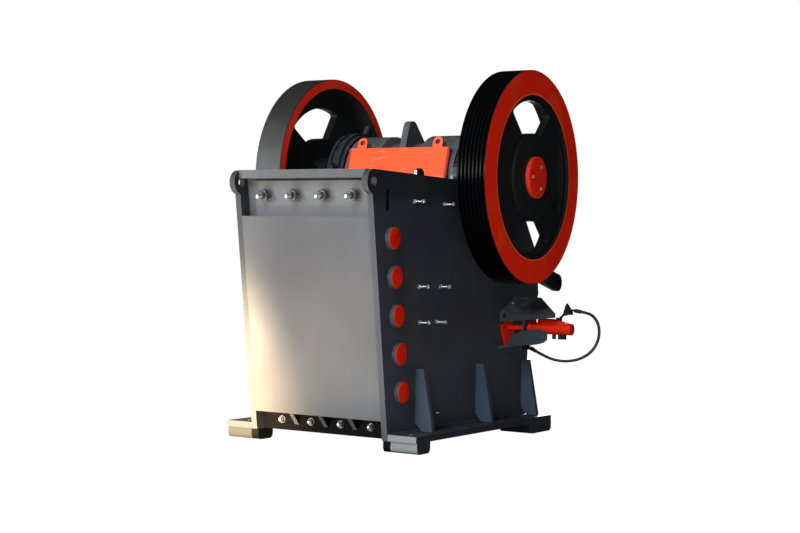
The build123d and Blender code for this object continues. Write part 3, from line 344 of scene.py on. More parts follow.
def frame_paint(name="grey_machine_paint", low=GREY, high=GREY_LIGHT, shine=0.36, painted_light=None):
    """Satin machine paint: faint cloudiness, drips down the walls, dust on the ledges, and painted
    light where a mask is given.
    """
    paint = Paint(name, shine)
    cloud, streak = weather(paint)
    speck = paint.ramp(paint.noise(60.0, 2.0), 0.70, 0.76) * paint.ramp(paint.noise(3.0, 2.0), 0.5, 0.6)
    base = paint.blend(cloud * 0.6 + streak * 0.25, low, high)
    # Painted light: blended towards a paler grey by the given mask
    if painted_light:
        base = paint.blend(painted_light(paint), base, PAINTED_LIGHT_GREY)
    color = dusty(paint, paint.blend(speck * 0.3, base, DUST), 0.25)
    roughness = 0.40 + paint.noise(12.0, 4.0) * 0.14
    return paint.finish(color, roughness, bump=sprayed(paint), depth=0.0012, strength=0.2)


# Where the wheels' finishes, painted highlight, painted shade and painted skylight change: by distance
# from the shaft's line and from the middle plane
RING_R = (0.692, 0.893)
RING_LIP_R = 0.703
RING_X = 1.118
INNER_RING_R = (0.815, 0.893)
INNER_RING_X = 0.864
TREAD_R = (0.885, 0.890)
GROOVE_FOOT_R = 0.848
GROOVES_X = (0.866, 1.116)
WELL_R = (0.70, 0.84)
WELL_X = 1.06


def wheel_paint(name, rim_low, rim_high, rim_rough, shine=0.16):
    """Black flywheel: red outer ring and inner rim edge, bare tread, told by radius and side; a painted
    highlight on the ring's inner lip, painted shade on its rounded outer edge, patches of wear and
    painted sheen on the red, dust and painted skylight low inside the rim, and a painted reflection
    that changes the tread's tone with height.
    """
    paint = Paint(name, shine)
    x, y, z = paint.parts(paint.place())
    out = paint.facing()[0] * x.sign()
    rise, ahead = z - SHAFT.z, y - SHAFT.y
    radius = (rise * rise + ahead * ahead).root()
    outer = (out > 0.6) * (radius > RING_R[0]) * (x.size() > RING_X)
    inner = (out < -0.6) * radius.between(INNER_RING_R) * (x.size() < INNER_RING_X)
    lip = outer * (radius < RING_LIP_R)
    rounded = outer * (radius > RING_R[1])
    tread = paint.ramp(radius, *TREAD_R) * (1.0 - paint.ramp(out.size(), 0.4, 0.6))
    rim = tread.either((radius > GROOVE_FOOT_R) * x.size().between(GROOVES_X))
    rub = paint.ramp(paint.noise(30.0, 6.0, 0.7), 0.62, 0.76)
    # Broad paler patches on the red: wear and painted sheen
    worn = paint.ramp(paint.noise(2.2, 3.0), 0.50, 0.72)
    red = paint.blend(paint.noise(5.0, 3.0) * 0.25 + rub * 0.25, RED, RED_DULL)
    red = paint.blend(worn * 0.25, red, RED_SHEEN_HIGHLIGHT)
    # Low inside the rim: dust, and painted skylight from above
    well = radius.between(WELL_R) * (x.size() < WELL_X) * paint.ramp(rise, -0.55, -0.75)
    black = paint.blend(paint.noise(14.0, 4.0), WEB_BLACK, WEB_WORN)
    black = paint.blend(well * 0.5, black, WELL_BLUE)
    # The tread's tone changes with height: a painted reflection
    bare = paint.blend(paint.ramp(z + paint.noise(4.0) * 0.5, 2.3, 3.1), rim_low, rim_high)
    color = paint.blend(rim, black, bare)
    color = paint.blend(outer.either(inner), color, paint.blend(inner * 0.6, red, RED_DULL))
    # Painted highlight along the ring's inner edge
    color = paint.blend(lip * 0.9, color, RED_SHEEN_HIGHLIGHT)
    # Painted shade on the ring's rounded outer edge
    color = paint.blend(rounded * 0.8, color, RED_SHADED)
    roughness = 0.46 + paint.noise(30.0) * 0.12 - rim * rim_rough
    return paint.finish(color, roughness, bump=paint.noise(300.0), strength=0.12)


def black_paint(name="black_paint", base=BLACK, worn=BLACK_WORN, shine=0.16):
    """Satin black paint with a fine film of dust."""
    paint = Paint(name, shine)
    color = dusty(paint, paint.blend(paint.noise(14.0, 4.0), base, worn), 0.08)
    return paint.finish(color, 0.42 + paint.noise(30.0) * 0.15, bump=paint.noise(300.0), strength=0.15)


def red_paint(name="red_paint", base=RED, side=None):
    """Satin red paint with small dull rubs, and another red on what doesn't face sideways."""
    paint = Paint(name, 0.1)
    rub = paint.ramp(paint.noise(40.0, 6.0, 0.7), 0.58, 0.7)
    color = paint.blend(paint.noise(6.0, 3.0) * 0.3 + rub * 0.3, base, RED_DULL)
    if side:
        color = paint.blend(paint.ramp(paint.facing()[0].size(), 0.9, 0.6), color, side)
    return paint.finish(color, 0.42 + rub * 0.2, bump=paint.noise(350.0), strength=0.15)


def boss_paint():
    """Tie end: red face with a dark smear of grease, grey rim."""
    paint = Paint("red_faced_boss", 0.04)
    smear = paint.ramp(paint.noise(14.0, 4.0, 0.6, distortion=0.6), 0.52, 0.72)
    red = paint.blend(smear * 0.55, BOSS_RED, BOSS_GREASE)
    face = paint.ramp(paint.facing()[0].size(), 0.6, 0.8)
    color = paint.blend(face, GREY_LIGHT, red)
    return paint.finish(color, 0.42 + smear * 0.2, bump=paint.noise(300.0), strength=0.15)


# Distance from the middle plane at which the guard's shaded ends begin, and its paler foot's heights
GUARD_END_X = (0.476, 0.482)
GUARD_FOOT_Z = (2.275, 2.215)


def guard_paint():
    """Orange-red guard paint, scuffed paler along the foot and by scratches across it, with painted
    shade on its ends and sideways faces.
    """
    paint = Paint("scuffed_guard_paint", 0.2)
    x, y, z = paint.parts(paint.place())
    scratch = paint.noise(1.0, 5.0, 0.65, where=paint.stretched((5.0, 5.0, 55.0)), distortion=0.8)
    scuff = paint.ramp(scratch, 0.56, 0.66) * paint.ramp(paint.noise(4.0, 3.0), 0.45, 0.6)
    foot = paint.ramp(z + paint.noise(22.0, 4.0) * 0.10, *GUARD_FOOT_Z)
    color = paint.blend((scuff * 0.8).either(foot * 0.6), ORANGE, ORANGE_PALE)
    # Painted shade on the guard's ends and sideways faces
    end = paint.ramp(paint.facing()[0].size(), 0.5, 0.8).either(paint.ramp(x.size(), *GUARD_END_X))
    color = paint.blend(end, color, ORANGE_SHADED)
    return paint.finish(color, 0.45 + scuff * 0.25, bump=scratch, depth=0.0008, strength=0.2)


def rib_paint():
    """Ribs behind the front's foot: sides black as painted shade, front edges a lighter grey as painted
    light.
    """
    paint = Paint("rib_shade_and_edge_light", 0.05)
    # Painted light on the front edges, painted shade (black) on the sides
    edge = 1.0 - paint.ramp(paint.facing()[0].size(), 0.3, 0.6)
    color = paint.blend(edge, paint.blend(paint.noise(14.0, 4.0), BLACK, BLACK_WORN), RIB_EDGE_LIGHT)
    return paint.finish(color, 0.5 + paint.noise(30.0) * 0.1, bump=paint.noise(300.0), strength=0.15)


# The side plate's slot and rear lug, which get painted shade, and its front edge, which gets painted
# light
SLOT_Y = (-1.32, -1.16)
SLOT_Z = (1.84, 2.05)
FRONT_EDGE_Y = (-0.9, -1.0)
REAR_LUG_Y = (1.62, 1.70)


def side_paint():
    """Side plate: machine paint, with painted shade (black) on the rear lug and in the slot's walls,
    and painted light on the front edges.
    """
    paint = Paint("side_plate_paint", 0.12)
    x, y, z = paint.parts(paint.place())
    cloud, streak = weather(paint)
    # Lighter towards the foot, and darker in a band under the top
    lower = paint.ramp(z, 1.9, 0.5)
    base = paint.blend(cloud * 0.4 + streak * 0.2 + lower * 0.4, SIDE_GREY, GREY_LIGHT)
    base = paint.blend(paint.ramp(z, 1.85, 2.05) * 0.5, base, BLACK)
    base = dusty(paint, base, 0.25)
    flat = paint.ramp(paint.facing()[0].size(), 0.5, 0.7)
    # Painted shade in the slot's walls and on the rear lug, painted light on the front edges
    slot = (1.0 - flat) * z.between(SLOT_Z) * y.between(SLOT_Y)
    rear = paint.ramp(y, *REAR_LUG_Y)
    front = (1.0 - flat) * paint.ramp(y, *FRONT_EDGE_Y) * (1.0 - slot)
    base = paint.blend(front * 0.6, base, GREY_LIGHT)
    color = paint.blend(slot.either(rear), base, BLACK)
    roughness = 0.42 + paint.noise(12.0, 4.0) * 0.14
    return paint.finish(color, roughness, bump=sprayed(paint), depth=0.0012, strength=0.2)


# Top of the pads, and the distance from the middle plane at which they go in under the frame and
# painted shade begins
PAD_TOP_Z = 0.089
PAD_SHADE_X = (0.680, 0.668)


def foot_paint():
    """Feet and flanges: dark sides, dust on what faces up, painted light on the front faces towards the
    right, painted shade (black) under the frame's walls.
    """
    paint = Paint("foot_paint", 0.04)
    x, y, z = paint.parts(paint.place())
    # Painted shade: black where the pads go in under the frame's walls
    under = paint.ramp(x.size() + paint.noise(14.0, 4.0) * 0.02, *PAD_SHADE_X) * (z < PAD_TOP_Z)
    front = paint.ramp(0.0 - paint.facing()[1], 0.5, 0.8) * paint.ramp(y, -0.9, -1.1)
    color = dusty(paint, paint.blend(paint.noise(6.0, 4.0), FOOT_DARK, SIDE_GREY), 0.12)
    # Painted light on the front faces, pale on the right
    dust = paint.blend(paint.noise(9.0, 4.0), FOOT_FRONT_LIGHT, FOOT_FRONT_LIGHT_DIM)
    left = paint.blend(z < PAD_TOP_Z, LEFT_FLANGE_GREY, LEFT_PAD_GREY)
    color = paint.blend(front, color, paint.blend(paint.ramp(x, 0.2, -0.2), dust, left))
    color = paint.blend(under, color, SHADE_BLACK)
    return paint.finish(color, 0.5, bump=paint.noise(60.0, 4.0), strength=0.2)


def jaw_steel():
    """Rough cast manganese steel with a brown bloom of rust."""
    paint = Paint("cast_jaw_steel")
    rust = paint.ramp(paint.noise(7.0, 6.0, 0.65), 0.42, 0.68)
    color = paint.blend(rust, (0.16, 0.15, 0.14), (0.13, 0.065, 0.032))
    return paint.finish(color, 0.55 + rust * 0.3, 0.7 - rust * 0.6, paint.noise(90.0, 5.0), 0.003, 0.5)


def machined_steel():
    """Turned steel: fine rings across the shaft and a film of oil."""
    paint = Paint("machined_steel")
    rings = paint.noise(1.0, 2.0, where=paint.stretched((900.0, 4.0, 4.0)))
    color = paint.blend(paint.noise(20.0, 4.0), (0.42, 0.42, 0.43), (0.26, 0.25, 0.24))
    return paint.finish(color, 0.28 + rings * 0.2, 1.0, rings, 0.0006, 0.3)


def plain_steel(name, light, dark, roughness):
    """Bare or oiled steel of small fastenings, darkened in patches."""
    paint = Paint(name)
    patch = paint.ramp(paint.noise(70.0, 4.0), 0.4, 0.65)
    color = paint.blend(patch, light, dark)
    return paint.finish(color, roughness + patch * 0.12, 0.9, paint.noise(500.0), 0.0004, 0.3)


def hose_rubber():
    """Matt black hose cover with the faint weave of its wrapping."""
    paint = Paint("hose_rubber", 0.35)
    weave = paint.noise(1.0, 2.0, where=paint.stretched((300.0, 300.0, 300.0)))
    color = paint.blend(paint.noise(40.0, 3.0), (0.006, 0.006, 0.006), (0.022, 0.021, 0.018))
    return paint.finish(color, 0.55 + weave * 0.2, bump=weave, depth=0.0006, strength=0.4)


# Floor and surround: how bright the floor shows, how much of that shows, and the surround's light
FLOOR_GLOW = 1.07
FLOOR_SHARE = 0.94
SURROUND = 0.030


def make_stage():
    """A plain pale floor, which shows white to the camera, and a white surround."""
    side = 60.0
    mesh = bpy.data.meshes.new("floor")
    corners = [(-side, -side, 0.0), (side, -side, 0.0), (side, side, 0.0), (-side, side, 0.0)]
    mesh.from_pydata(corners, [], [(0, 1, 2, 3)])
    floor = bpy.data.objects.new("floor", mesh)
    bpy.context.scene.collection.objects.link(floor)
    paint = Paint("pale_floor")
    mesh.materials.append(paint.finish((0.50, 0.50, 0.50), 0.9))
    seen = paint.node("ShaderNodeLightPath", output="Is Camera Ray")
    glow = paint.node("ShaderNodeEmission", None, ((1.0, 1.0, 1.0, 1.0), FLOOR_GLOW))
    matt = Wire(paint, paint.shader.outputs[0])
    mix = paint.node("ShaderNodeMixShader", None, (seen * FLOOR_SHARE, matt, glow))
    paint.tree.links.new(mix.socket, paint.tree.nodes["Material Output"].inputs["Surface"])
    world = bpy.data.worlds.new("surround")
    bpy.context.scene.world = world
    world.use_nodes = True
    tree = world.node_tree
    seen = tree.nodes.new("ShaderNodeLightPath")
    strength = tree.nodes.new("ShaderNodeMapRange")
    strength.inputs["To Min"].default_value = SURROUND
    strength.inputs["To Max"].default_value = 1.0
    tree.links.new(seen.outputs["Is Camera Ray"], strength.inputs["Value"])
    back = tree.nodes["Background"]
    back.inputs["Color"].default_value = (1.0, 1.0, 1.0, 1.0)
    tree.links.new(strength.outputs["Result"], back.inputs["Strength"])


def hang_lamp(data, place, aim, power, color):
    """Put a light at a place, turned towards a point and itself unseen."""
    data.energy = power
    data.color = color
    lamp = bpy.data.objects.new(data.name, data)
    bpy.context.scene.collection.objects.link(lamp)
    place, aim = Vector(place), Vector(aim)
    turn = (aim - place).to_track_quat("-Z", "Y").to_matrix().to_4x4()
    lamp.matrix_world = Matrix.Translation(place) @ turn
    lamp.visible_camera = False


def soft_light(name, place, aim, size, power, color=(1.0, 1.0, 1.0)):
    """A square soft light."""
    data = bpy.data.lights.new(name, "AREA")
    data.shape = "SQUARE"
    data.size = size
    hang_lamp(data, place, aim, power, color)


def glow_lamp(place, aim, angle, soft, power, color):
    """A warm round pool of light on the front's lower left corner."""
    data = bpy.data.lights.new("warm_glow", "SPOT")
    data.spot_size = math.radians(angle)
    data.spot_blend = soft
    data.shadow_soft_size = 0.25
    hang_lamp(data, place, aim, power, color)


make_stage()
soft_light("key", (-6.5, -13.5, 3.2), (0.0, -0.4, 1.3), 3.0, 1450.0, (1.0, 0.99, 0.97))
soft_light("sky_fill", (1.5, -13.0, 8.0), (0.3, 0.0, 1.2), 6.0, 3000.0, (0.74, 0.86, 1.0))
soft_light("side_fill", (6.0, -10.0, 1.4), (0.7, 0.2, 1.3), 3.0, 400.0, (0.90, 0.95, 1.0))
soft_light("back_fill", (-3.5, 12.0, 1.9), (0.0, 0.9, 1.2), 2.0, 900.0, (0.96, 0.98, 1.0))
soft_light("floor_bounce", (-0.3, -3.0, 0.02), (-0.3, -3.0, 1.0), 2.4, 75.0, (1.0, 1.0, 0.99))
glow_lamp((-0.6, -6.0, 0.9), (-1.92, -1.18, 0.22), 41.6, 0.50, 24000.0, (1.0, 0.735, 0.43))

MATERIALS = {
    "frame_paint": frame_paint(),
    "black_paint": black_paint(),
    "red_paint": red_paint(),
    "orange_paint": guard_paint(),
    "jaw_steel": jaw_steel(),
    "machined_steel": machined_steel(),
    "hose_rubber": hose_rubber(),
    "hose_fitting": black_paint("navy_fitting", NAVY, (0.012, 0.016, 0.034)),
}
# Gussets: a bluer copy of the frame paint, painted skylight where the key light is blocked
SKYLIT_GREY = frame_paint("skylit_grey_paint", GREY_BLUE, GREY_BLUE_LIGHT, 0.2)
BY_NODE = {
    # Painted shade: the lower beam in its recess made near black
    "lower_front_beam": black_paint(
        "beam_shade_black", (0.0003, 0.0003, 0.0003), (0.0008, 0.0007, 0.0006), 0.03),
    "front_wall_ribs": rib_paint(),
    "flywheel_grooved": wheel_paint(
        "grooved_wheel_paint", (0.0008, 0.0008, 0.0009), (0.0022, 0.0022, 0.0024), 0.24, 0.035),
    "flywheel_plain": wheel_paint("plain_wheel_paint", RIM_GREY, RIM_TOP_REFLECTION, 0.0),
    "tie_bosses_right": boss_paint(),
    "side_plate_right": side_paint(),
    "base_pads_front": foot_paint(),
    # Front wall and top beam: painted light, paler towards the left, the foot and in the recess
    "front_skin": frame_paint("front_wall_paint", painted_light=front_painted_light),
    "cylinder_barrel_right": red_paint("cylinder_red", CYLINDER_RED),
    "bearing_cap_right": frame_paint(
        "bearing_paint", (0.013, 0.014, 0.017), (0.019, 0.020, 0.024), 0.2),
    "swing_jaw": frame_paint("jaw_body_paint", (0.044, 0.045, 0.049), (0.068, 0.069, 0.073)),
    # Hoods and brackets: a darker, bluer copy of the frame paint, as painted shade
    "wedge_hood_right": frame_paint(
        "hood_shade_paint", (0.019, 0.021, 0.024), (0.027, 0.030, 0.034), 0.2),
    "eccentric_shaft": plain_steel(
        "greased_shaft_steel", (0.050, 0.046, 0.040), (0.018, 0.016, 0.014), 0.45),
}
BY_NODE["front_top_beam"] = BY_NODE["front_skin"]
BY_NODE["tie_bosses_left"] = BY_NODE["tie_bosses_right"]
BY_NODE["side_plate_left"] = BY_NODE["side_plate_right"]
for piece_name in ("base_pads_rear", "base_flange_right", "base_flange_left"):
    BY_NODE[piece_name] = BY_NODE["base_pads_front"]
BY_NODE["cylinder_barrel_left"] = BY_NODE["cylinder_barrel_right"]
for piece_name in ("wedge_hood_left", "cylinder_bracket_right", "cylinder_bracket_left"):
    BY_NODE[piece_name] = BY_NODE["wedge_hood_right"]
BY_NODE["bearing_cap_left"] = BY_NODE["bearing_cap_right"]
BY_NODE["base_gussets_right"] = BY_NODE["base_gussets_left"] = SKYLIT_GREY

BRIGHT_STEEL = plain_steel("bright_stud_steel", (0.75, 0.74, 0.72), (0.45, 0.44, 0.43), 0.22)
DARK_STEEL = plain_steel("oiled_stud_steel", (0.16, 0.15, 0.15), (0.05, 0.05, 0.05), 0.32)
YELLOW_ZINC = plain_steel("yellow_zinc_steel", (0.85, 0.60, 0.30), (0.60, 0.38, 0.16), 0.3)

for part in frame["record"]["subparts"]:
    node = frame["nodes"][part["node"]]
    node.data.materials.clear()
    node.data.materials.append(BY_NODE.get(part["node"], MATERIALS[part["material_slot"]]))


def skin(rings, loop=False):
    """Walls between closed rings P(i, j), i along and j around, with a fan on each end ring."""
    rows, sides = rings.shape[:2]
    verts = rings.reshape(-1, 3)
    last = rows if loop else rows - 1
    i, j = np.meshgrid(np.arange(last), np.arange(sides), indexing="ij")
    row, after, k = i * sides, (i + 1) % rows * sides, (j + 1) % sides
    corners = (row + j, row + k, after + k, after + j)
    walls = np.stack([corners[n] for n in (0, 1, 2, 0, 2, 3)], -1).reshape(-1, 3)
    if loop:
        return verts, walls
    j = np.arange(sides)
    k = (j + 1) % sides
    low = np.stack((np.full(sides, rows * sides), k, j), -1)
    high = np.stack((np.full(sides, rows * sides + 1), last * sides + j, last * sides + k), -1)
    ends = np.stack((rings[0].mean(0), rings[-1].mean(0)))
    return np.vstack((verts, ends)), np.vstack((walls, low, high))


def turned(profile, sides=24):
    """Ring i of a profile of (a, r) is (a, r cos t, r sin t), with t from 0 to one turn."""
    along, radius = np.array(profile, float).T[:, :, None]
    t = np.linspace(0.0, 2 * PI, sides, endpoint=False)
    return skin(np.stack(np.broadcast_arrays(along, radius * np.cos(t), radius * np.sin(t)), -1))


def tube(path, radius, sides=8, up=(0.0, 0.0, 1.0), loop=False):
    """C(s) + r(s) (cos t N + sin t B): a circle carried along the line C, N and B across it."""
    path = np.array(path, float)
    if loop:
        along = np.roll(path, -1, 0) - np.roll(path, 1, 0)
    else:
        along = np.gradient(path, axis=0)
    along /= np.linalg.norm(along, axis=1, keepdims=True)
    across = np.cross(along, up)
    across /= np.linalg.norm(across, axis=1, keepdims=True)
    rise = np.cross(across, along)
    t = np.linspace(0.0, 2 * PI, sides, endpoint=False)[None, :, None]
    reach = np.broadcast_to(np.asarray(radius, float), len(path))[:, None, None]
    ring = np.cos(t) * across[:, None] + np.sin(t) * rise[:, None]
    return skin(path[:, None] + reach * ring, loop)


def facing_way(way):
    """Turning matrix that lays the x axis along way."""
    x = np.array(way, float)
    x /= np.linalg.norm(x)
    side = np.cross(x, (0.0, 0.0, 1.0) if abs(x[2]) < 0.9 else (0.0, 1.0, 0.0))
    side /= np.linalg.norm(side)
    return np.stack((x, side, np.cross(x, side)), 1)


def set_at(shape, places, way=(1.0, 0.0, 0.0)):
    """Copies of a shape, each turned so that its x axis lies along way and moved to a place."""
    verts, faces = shape
    places = np.array(places, float).reshape(-1, 1, 3)
    turned_verts = verts @ facing_way(way).T
    shift = np.arange(len(places))[:, None, None] * len(verts)
    return (places + turned_verts).reshape(-1, 3), (faces + shift).reshape(-1, 3)


def joined(*shapes):
    """Several shapes as one."""
    counts = np.cumsum([0] + [len(verts) for verts, faces in shapes])
    verts = np.vstack([verts for verts, faces in shapes])
    return verts, np.vstack([faces + start for (found, faces), start in zip(shapes, counts)])


def mirrored(shape):
    """A shape's mirror image in x, with its faces still turned outwards."""
    verts, faces = shape
    return verts * (-1.0, 1.0, 1.0), faces[:, ::-1]


def both_hands(shape):
    """A shape and its mirror image in x."""
    return joined(shape, mirrored(shape))


def make_piece(name, body, material, shapes, sharp=38.0):
    """Join shapes to one mesh, turn its faces outwards and put it on a body."""
    verts, faces = joined(*shapes)
    mesh = bpy.data.meshes.new(name)
    mesh.from_pydata(verts.tolist(), [], faces.tolist())
    work = bmesh.new()
    work.from_mesh(mesh)
    bmesh.ops.recalc_face_normals(work, faces=work.faces)
    work.to_mesh(mesh)
    work.free()
    mesh.polygons.foreach_set("use_smooth", np.ones(len(mesh.polygons), bool))
    mesh.set_sharp_from_angle(angle=math.radians(sharp))
    mesh.materials.append(material)
    piece = bpy.data.objects.new(name, mesh)
    bpy.context.scene.collection.objects.link(piece)
    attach(piece, body)
    return piece


def ring_profile(r, t, start=0.0, edge=0.0015):
    """Washer from start to start + t: full radius between two small chamfers."""
    return [(start, r - edge), (start + edge, r), (start + t - edge, r), (start + t, r - edge)]


def hex_head(r, t, start=0.0):
    """Six-sided nut or head with chamfered crowns."""
    edge = r * 0.12
    profile = [(start, r * 0.93), (start + edge, r), (start + t - edge, r), (start + t, r * 0.90)]
    return turned(profile, 6)


def bolt(washer, head):
    """Washer with a six-sided head on it, each given as radius and thickness."""
    return joined(turned(ring_profile(*washer)), hex_head(*head, washer[1]))


def thread(r, start, end, pitch=0.004, nose=0.006):
    """Threaded rod end: the radius is r and r less a third of the pitch by turns, then a dome.

    Dome: a = end - nose (1 - sin f), radius = (r - pitch / 3) cos f."""
    a = np.arange(start, end - nose, pitch / 2)
    root = r - pitch / 3
    ridges = list(zip(a, r - (np.arange(len(a)) % 2) * pitch / 3))
    rises = (0.2, 0.6, 0.95, 1.25, 1.45)
    dome = [(end - nose * (1 - math.sin(f)), root * math.cos(f)) for f in rises]
    return turned(ridges + dome, 20)


def coil(r, wire, length, turns):
    """Spring: a circle of radius wire along the helix (a, r cos t, r sin t), a growing with t."""
    t = np.linspace(0.0, 2 * PI * turns, int(turns * 22))
    line = np.stack((t / t[-1] * (length - 2 * wire) + wire, r * np.cos(t), r * np.sin(t)), -1)
    return tube(line, wire, 8, (1.0, 0.0, 0.0))


def cut_corners(low, high, edge):
    """Rectangle from low to high in (u, v) with its corners cut by edge."""
    (u0, v0), (u1, v1) = low, high
    return [(u0 + edge, v0), (u1 - edge, v0), (u1, v0 + edge), (u1, v1 - edge),
            (u1 - edge, v1), (u0 + edge, v1), (u0, v1 - edge), (u0, v0 + edge)]


def sector(turns, radii, sides, edge=0.005, count=36):
    """Block of a wheel: a cut rectangle in x and radius, carried round the shaft by angle t.

    P = (x, shaft y + r cos t, shaft z + r sin t)."""
    section = np.array(cut_corners((sides[0], radii[0]), (sides[1], radii[1]), edge))
    t = np.radians(np.linspace(turns[0], turns[1], count))[:, None]
    x, r = section.T[:, None]
    rings = np.broadcast_arrays(x, SHAFT.y + r * np.cos(t), SHAFT.z + r * np.sin(t))
    return skin(np.stack(rings, -1))


def round_shaft(x, r, turns):
    """Places (x, shaft y + r cos t, shaft z + r sin t) round the shaft's line, for the angles t."""
    y, z = SHAFT.y + r * np.cos(turns), SHAFT.z + r * np.sin(turns)
    return np.stack((np.full(len(turns), x), y, z), -1)


def wheel_disc(profile, sides):
    """A profile turned about the shaft's line, at both wheels."""
    return both_hands(set_at(turned(profile, sides), (0.0, SHAFT.y, SHAFT.z)))


# Leans away from every run, so that a bead never twists
BEAD_UP = (0.31, 0.52, 0.79)


def bead(points, r=0.007, pitch=0.012, loop=False):
    """Weld run: a tube along a corner line, of radius r (0.86 + 0.14 |sin(pi s / pitch)|) at s."""
    points = np.array(points, float)
    if loop:
        points = np.vstack((points, points[:1]))
    step = np.linalg.norm(np.diff(points, axis=0), axis=1)
    reach = np.concatenate(([0.0], np.cumsum(step)))
    s = np.linspace(0.0, reach[-1], max(8, int(reach[-1] / pitch * 3)), endpoint=not loop)
    line = np.stack([np.interp(s, reach, points[:, axis]) for axis in range(3)], -1)
    swell = r * (0.86 + 0.14 * np.abs(np.sin(PI * s / pitch)))
    return tube(line, swell, 7, BEAD_UP, loop)


def circle(center, r, count=40):
    """Points center + r (0, cos t, sin t) of a circle in a plane across x."""
    t = np.linspace(0.0, 2 * PI, count, endpoint=False)
    return np.array(center) + r * np.stack((t * 0.0, np.cos(t), np.sin(t)), -1)


def block(center, half, edge=0.004):
    """Bar with chamfered edges: eight-cornered rings across x, drawn in at both ends."""
    hx, hy, hz = half
    rings = []
    for x, drawn in ((-hx, edge), (-hx + edge, 0.0), (hx - edge, 0.0), (hx, edge)):
        y, z = hy - drawn, hz - drawn
        v, w = y - edge, z - edge
        rings.append([(x, y, w), (x, v, z), (x, -v, z), (x, -y, w),
                      (x, -y, -w), (x, -v, -z), (x, v, -z), (x, y, -w)])
    return skin(np.array(rings) + np.array(center))


def half_round(center, r, half_t, sunk=0.006, edge=0.004):
    """Half disc on a flat: rings (x, r cos f, r sin f) with f from 0 to half a turn, foot sunk."""
    f = np.linspace(0.0, PI, 21)
    rings = []
    for x, drawn in ((-half_t, edge), (-half_t + edge, 0.0), (half_t - edge, 0.0), (half_t, edge)):
        reach = r - drawn
        arc = np.column_stack((np.full(len(f), x), reach * np.cos(f), reach * np.sin(f)))
        rings.append(np.vstack((arc, [(x, -reach, -sunk), (x, reach, -sunk)])))
    return skin(np.array(rings) + np.array(center))


# Hose and the nuts on its ends
FITTING = MATERIALS["hose_fitting"]
CRIMPED = [
    (0.0, 0.0145), (0.001, 0.0165), (0.006, 0.017), (0.008, 0.0155), (0.010, 0.017), (0.014, 0.017),
    (0.016, 0.0155), (0.018, 0.017), (0.024, 0.017), (0.026, 0.0155), (0.028, 0.015), (0.0285, 0.012),
]
hose_end = joined(
    turned(CRIMPED),
    hex_head(0.020, 0.020, 0.0285),
    turned(ring_profile(0.0165, 0.005, 0.0485)),
    hex_head(0.0185, 0.009, 0.053),
)
route = np.array(HOSE_ROUTE)
fittings = make_piece("hose_end_fittings", "frame", FITTING, [
    set_at(hose_end, route[0], route[0] - route[1]),
    set_at(hose_end, route[-1], route[-1] - route[-2]),
])
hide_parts("hose_ends")
hose.data.materials.append(MATERIALS["hose_rubber"])
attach(hose, "frame")
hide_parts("hose")

# Spring-loaded studs of the fixed jaw plate in the upper recess, plain ones in the lower
DOWN_FRONT = (0.0, -math.cos(FRONT_TILT), -math.sin(FRONT_TILT))
STUD_X = (-0.416, -0.139, 0.139, 0.416)
UPPER_STUD_Z = 1.990
upper_studs = [(x, front_y(UPPER_STUD_Z, RECESS_SETBACK), UPPER_STUD_Z) for x in STUD_X]
lower_studs = [(x * 1.02, -1.059, 0.174) for x in STUD_X]
spring_stack = joined(
    turned(ring_profile(0.034, 0.030)),
    turned(ring_profile(0.050, 0.007, 0.028)),
    set_at(coil(0.036, 0.0080, 0.036, 2.6), (0.034, 0.0, 0.0)),
    turned(ring_profile(0.042, 0.006, 0.069)),
    hex_head(0.034, 0.022, 0.075),
)
make_piece("jaw_clamp_springs", "frame", DARK_STEEL, [
    set_at(spring_stack, upper_studs, DOWN_FRONT),
    set_at(bolt((0.032, 0.005), (0.027, 0.020)), lower_studs, FORWARD),
])
make_piece("jaw_clamp_studs", "frame", BRIGHT_STEEL, [
    set_at(thread(0.021, 0.0, 0.152, 0.0045, 0.016), upper_studs, DOWN_FRONT),
    set_at(thread(0.017, 0.0, 0.048, 0.0045, 0.012), lower_studs, FORWARD),
])

# Studs that hold the cheek plates
cheek_stud = joined(
    bolt((0.020, 0.004), (0.017, 0.016)),
    thread(0.009, 0.0, 0.102, 0.004, 0.005),
    hex_head(0.017, 0.018, 0.078),
)
cheek_places = [
    (SIDE_X, -0.855, 1.960), (SIDE_X, -0.370, 1.960), (SIDE_X, -0.748, 1.287),
    (SIDE_X, -0.400, 1.287), (SIDE_X, -0.724, 1.000), (SIDE_X, -0.450, 1.000),
]
make_piece("cheek_plate_studs", "frame", BRIGHT_STEEL, [
    both_hands(set_at(cheek_stud, cheek_places)),
])

# Wheels: round plate behind each hub, counterweight in the forward opening, raised red covers
CAP_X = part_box("hub_cap_right")[0][0]
COVER_X = CAP_X + 0.035
WEB_X = (CAP_X - 0.102, CAP_X - 0.032)
WEIGHT_X = (WEB_X[0] - 0.050, WEB_X[1] - 0.001)
WEIGHT_R = (0.190, 0.704)
NEAR_WEIGHT_TURNS = (137.0, 227.0)
FAR_WEIGHT_TURNS = (149.0, 239.0)
PLATE_EDGE = [
    (WEB_X[0] - 0.003, 0.366), (WEB_X[0] + 0.001, 0.371), (WEB_X[1] + 0.016, 0.371),
    (WEB_X[1] + 0.022, 0.368), (WEB_X[1] + 0.024, 0.362),
]
COVER_EDGE = [
    (CAP_X - 0.001, 0.176), (CAP_X + 0.026, 0.176), (CAP_X + 0.031, 0.174),
    (CAP_X + 0.034, 0.169), (COVER_X, 0.150),
]
WHEEL_BLACK = BY_NODE["flywheel_grooved"]
make_piece("wheel_hub_plates", "rotor", WHEEL_BLACK, [wheel_disc(PLATE_EDGE, 96)])
make_piece("wheel_counterweights", "rotor", WHEEL_BLACK, [
    sector(NEAR_WEIGHT_TURNS, WEIGHT_R, WEIGHT_X),
    mirrored(sector(FAR_WEIGHT_TURNS, WEIGHT_R, WEIGHT_X)),
])
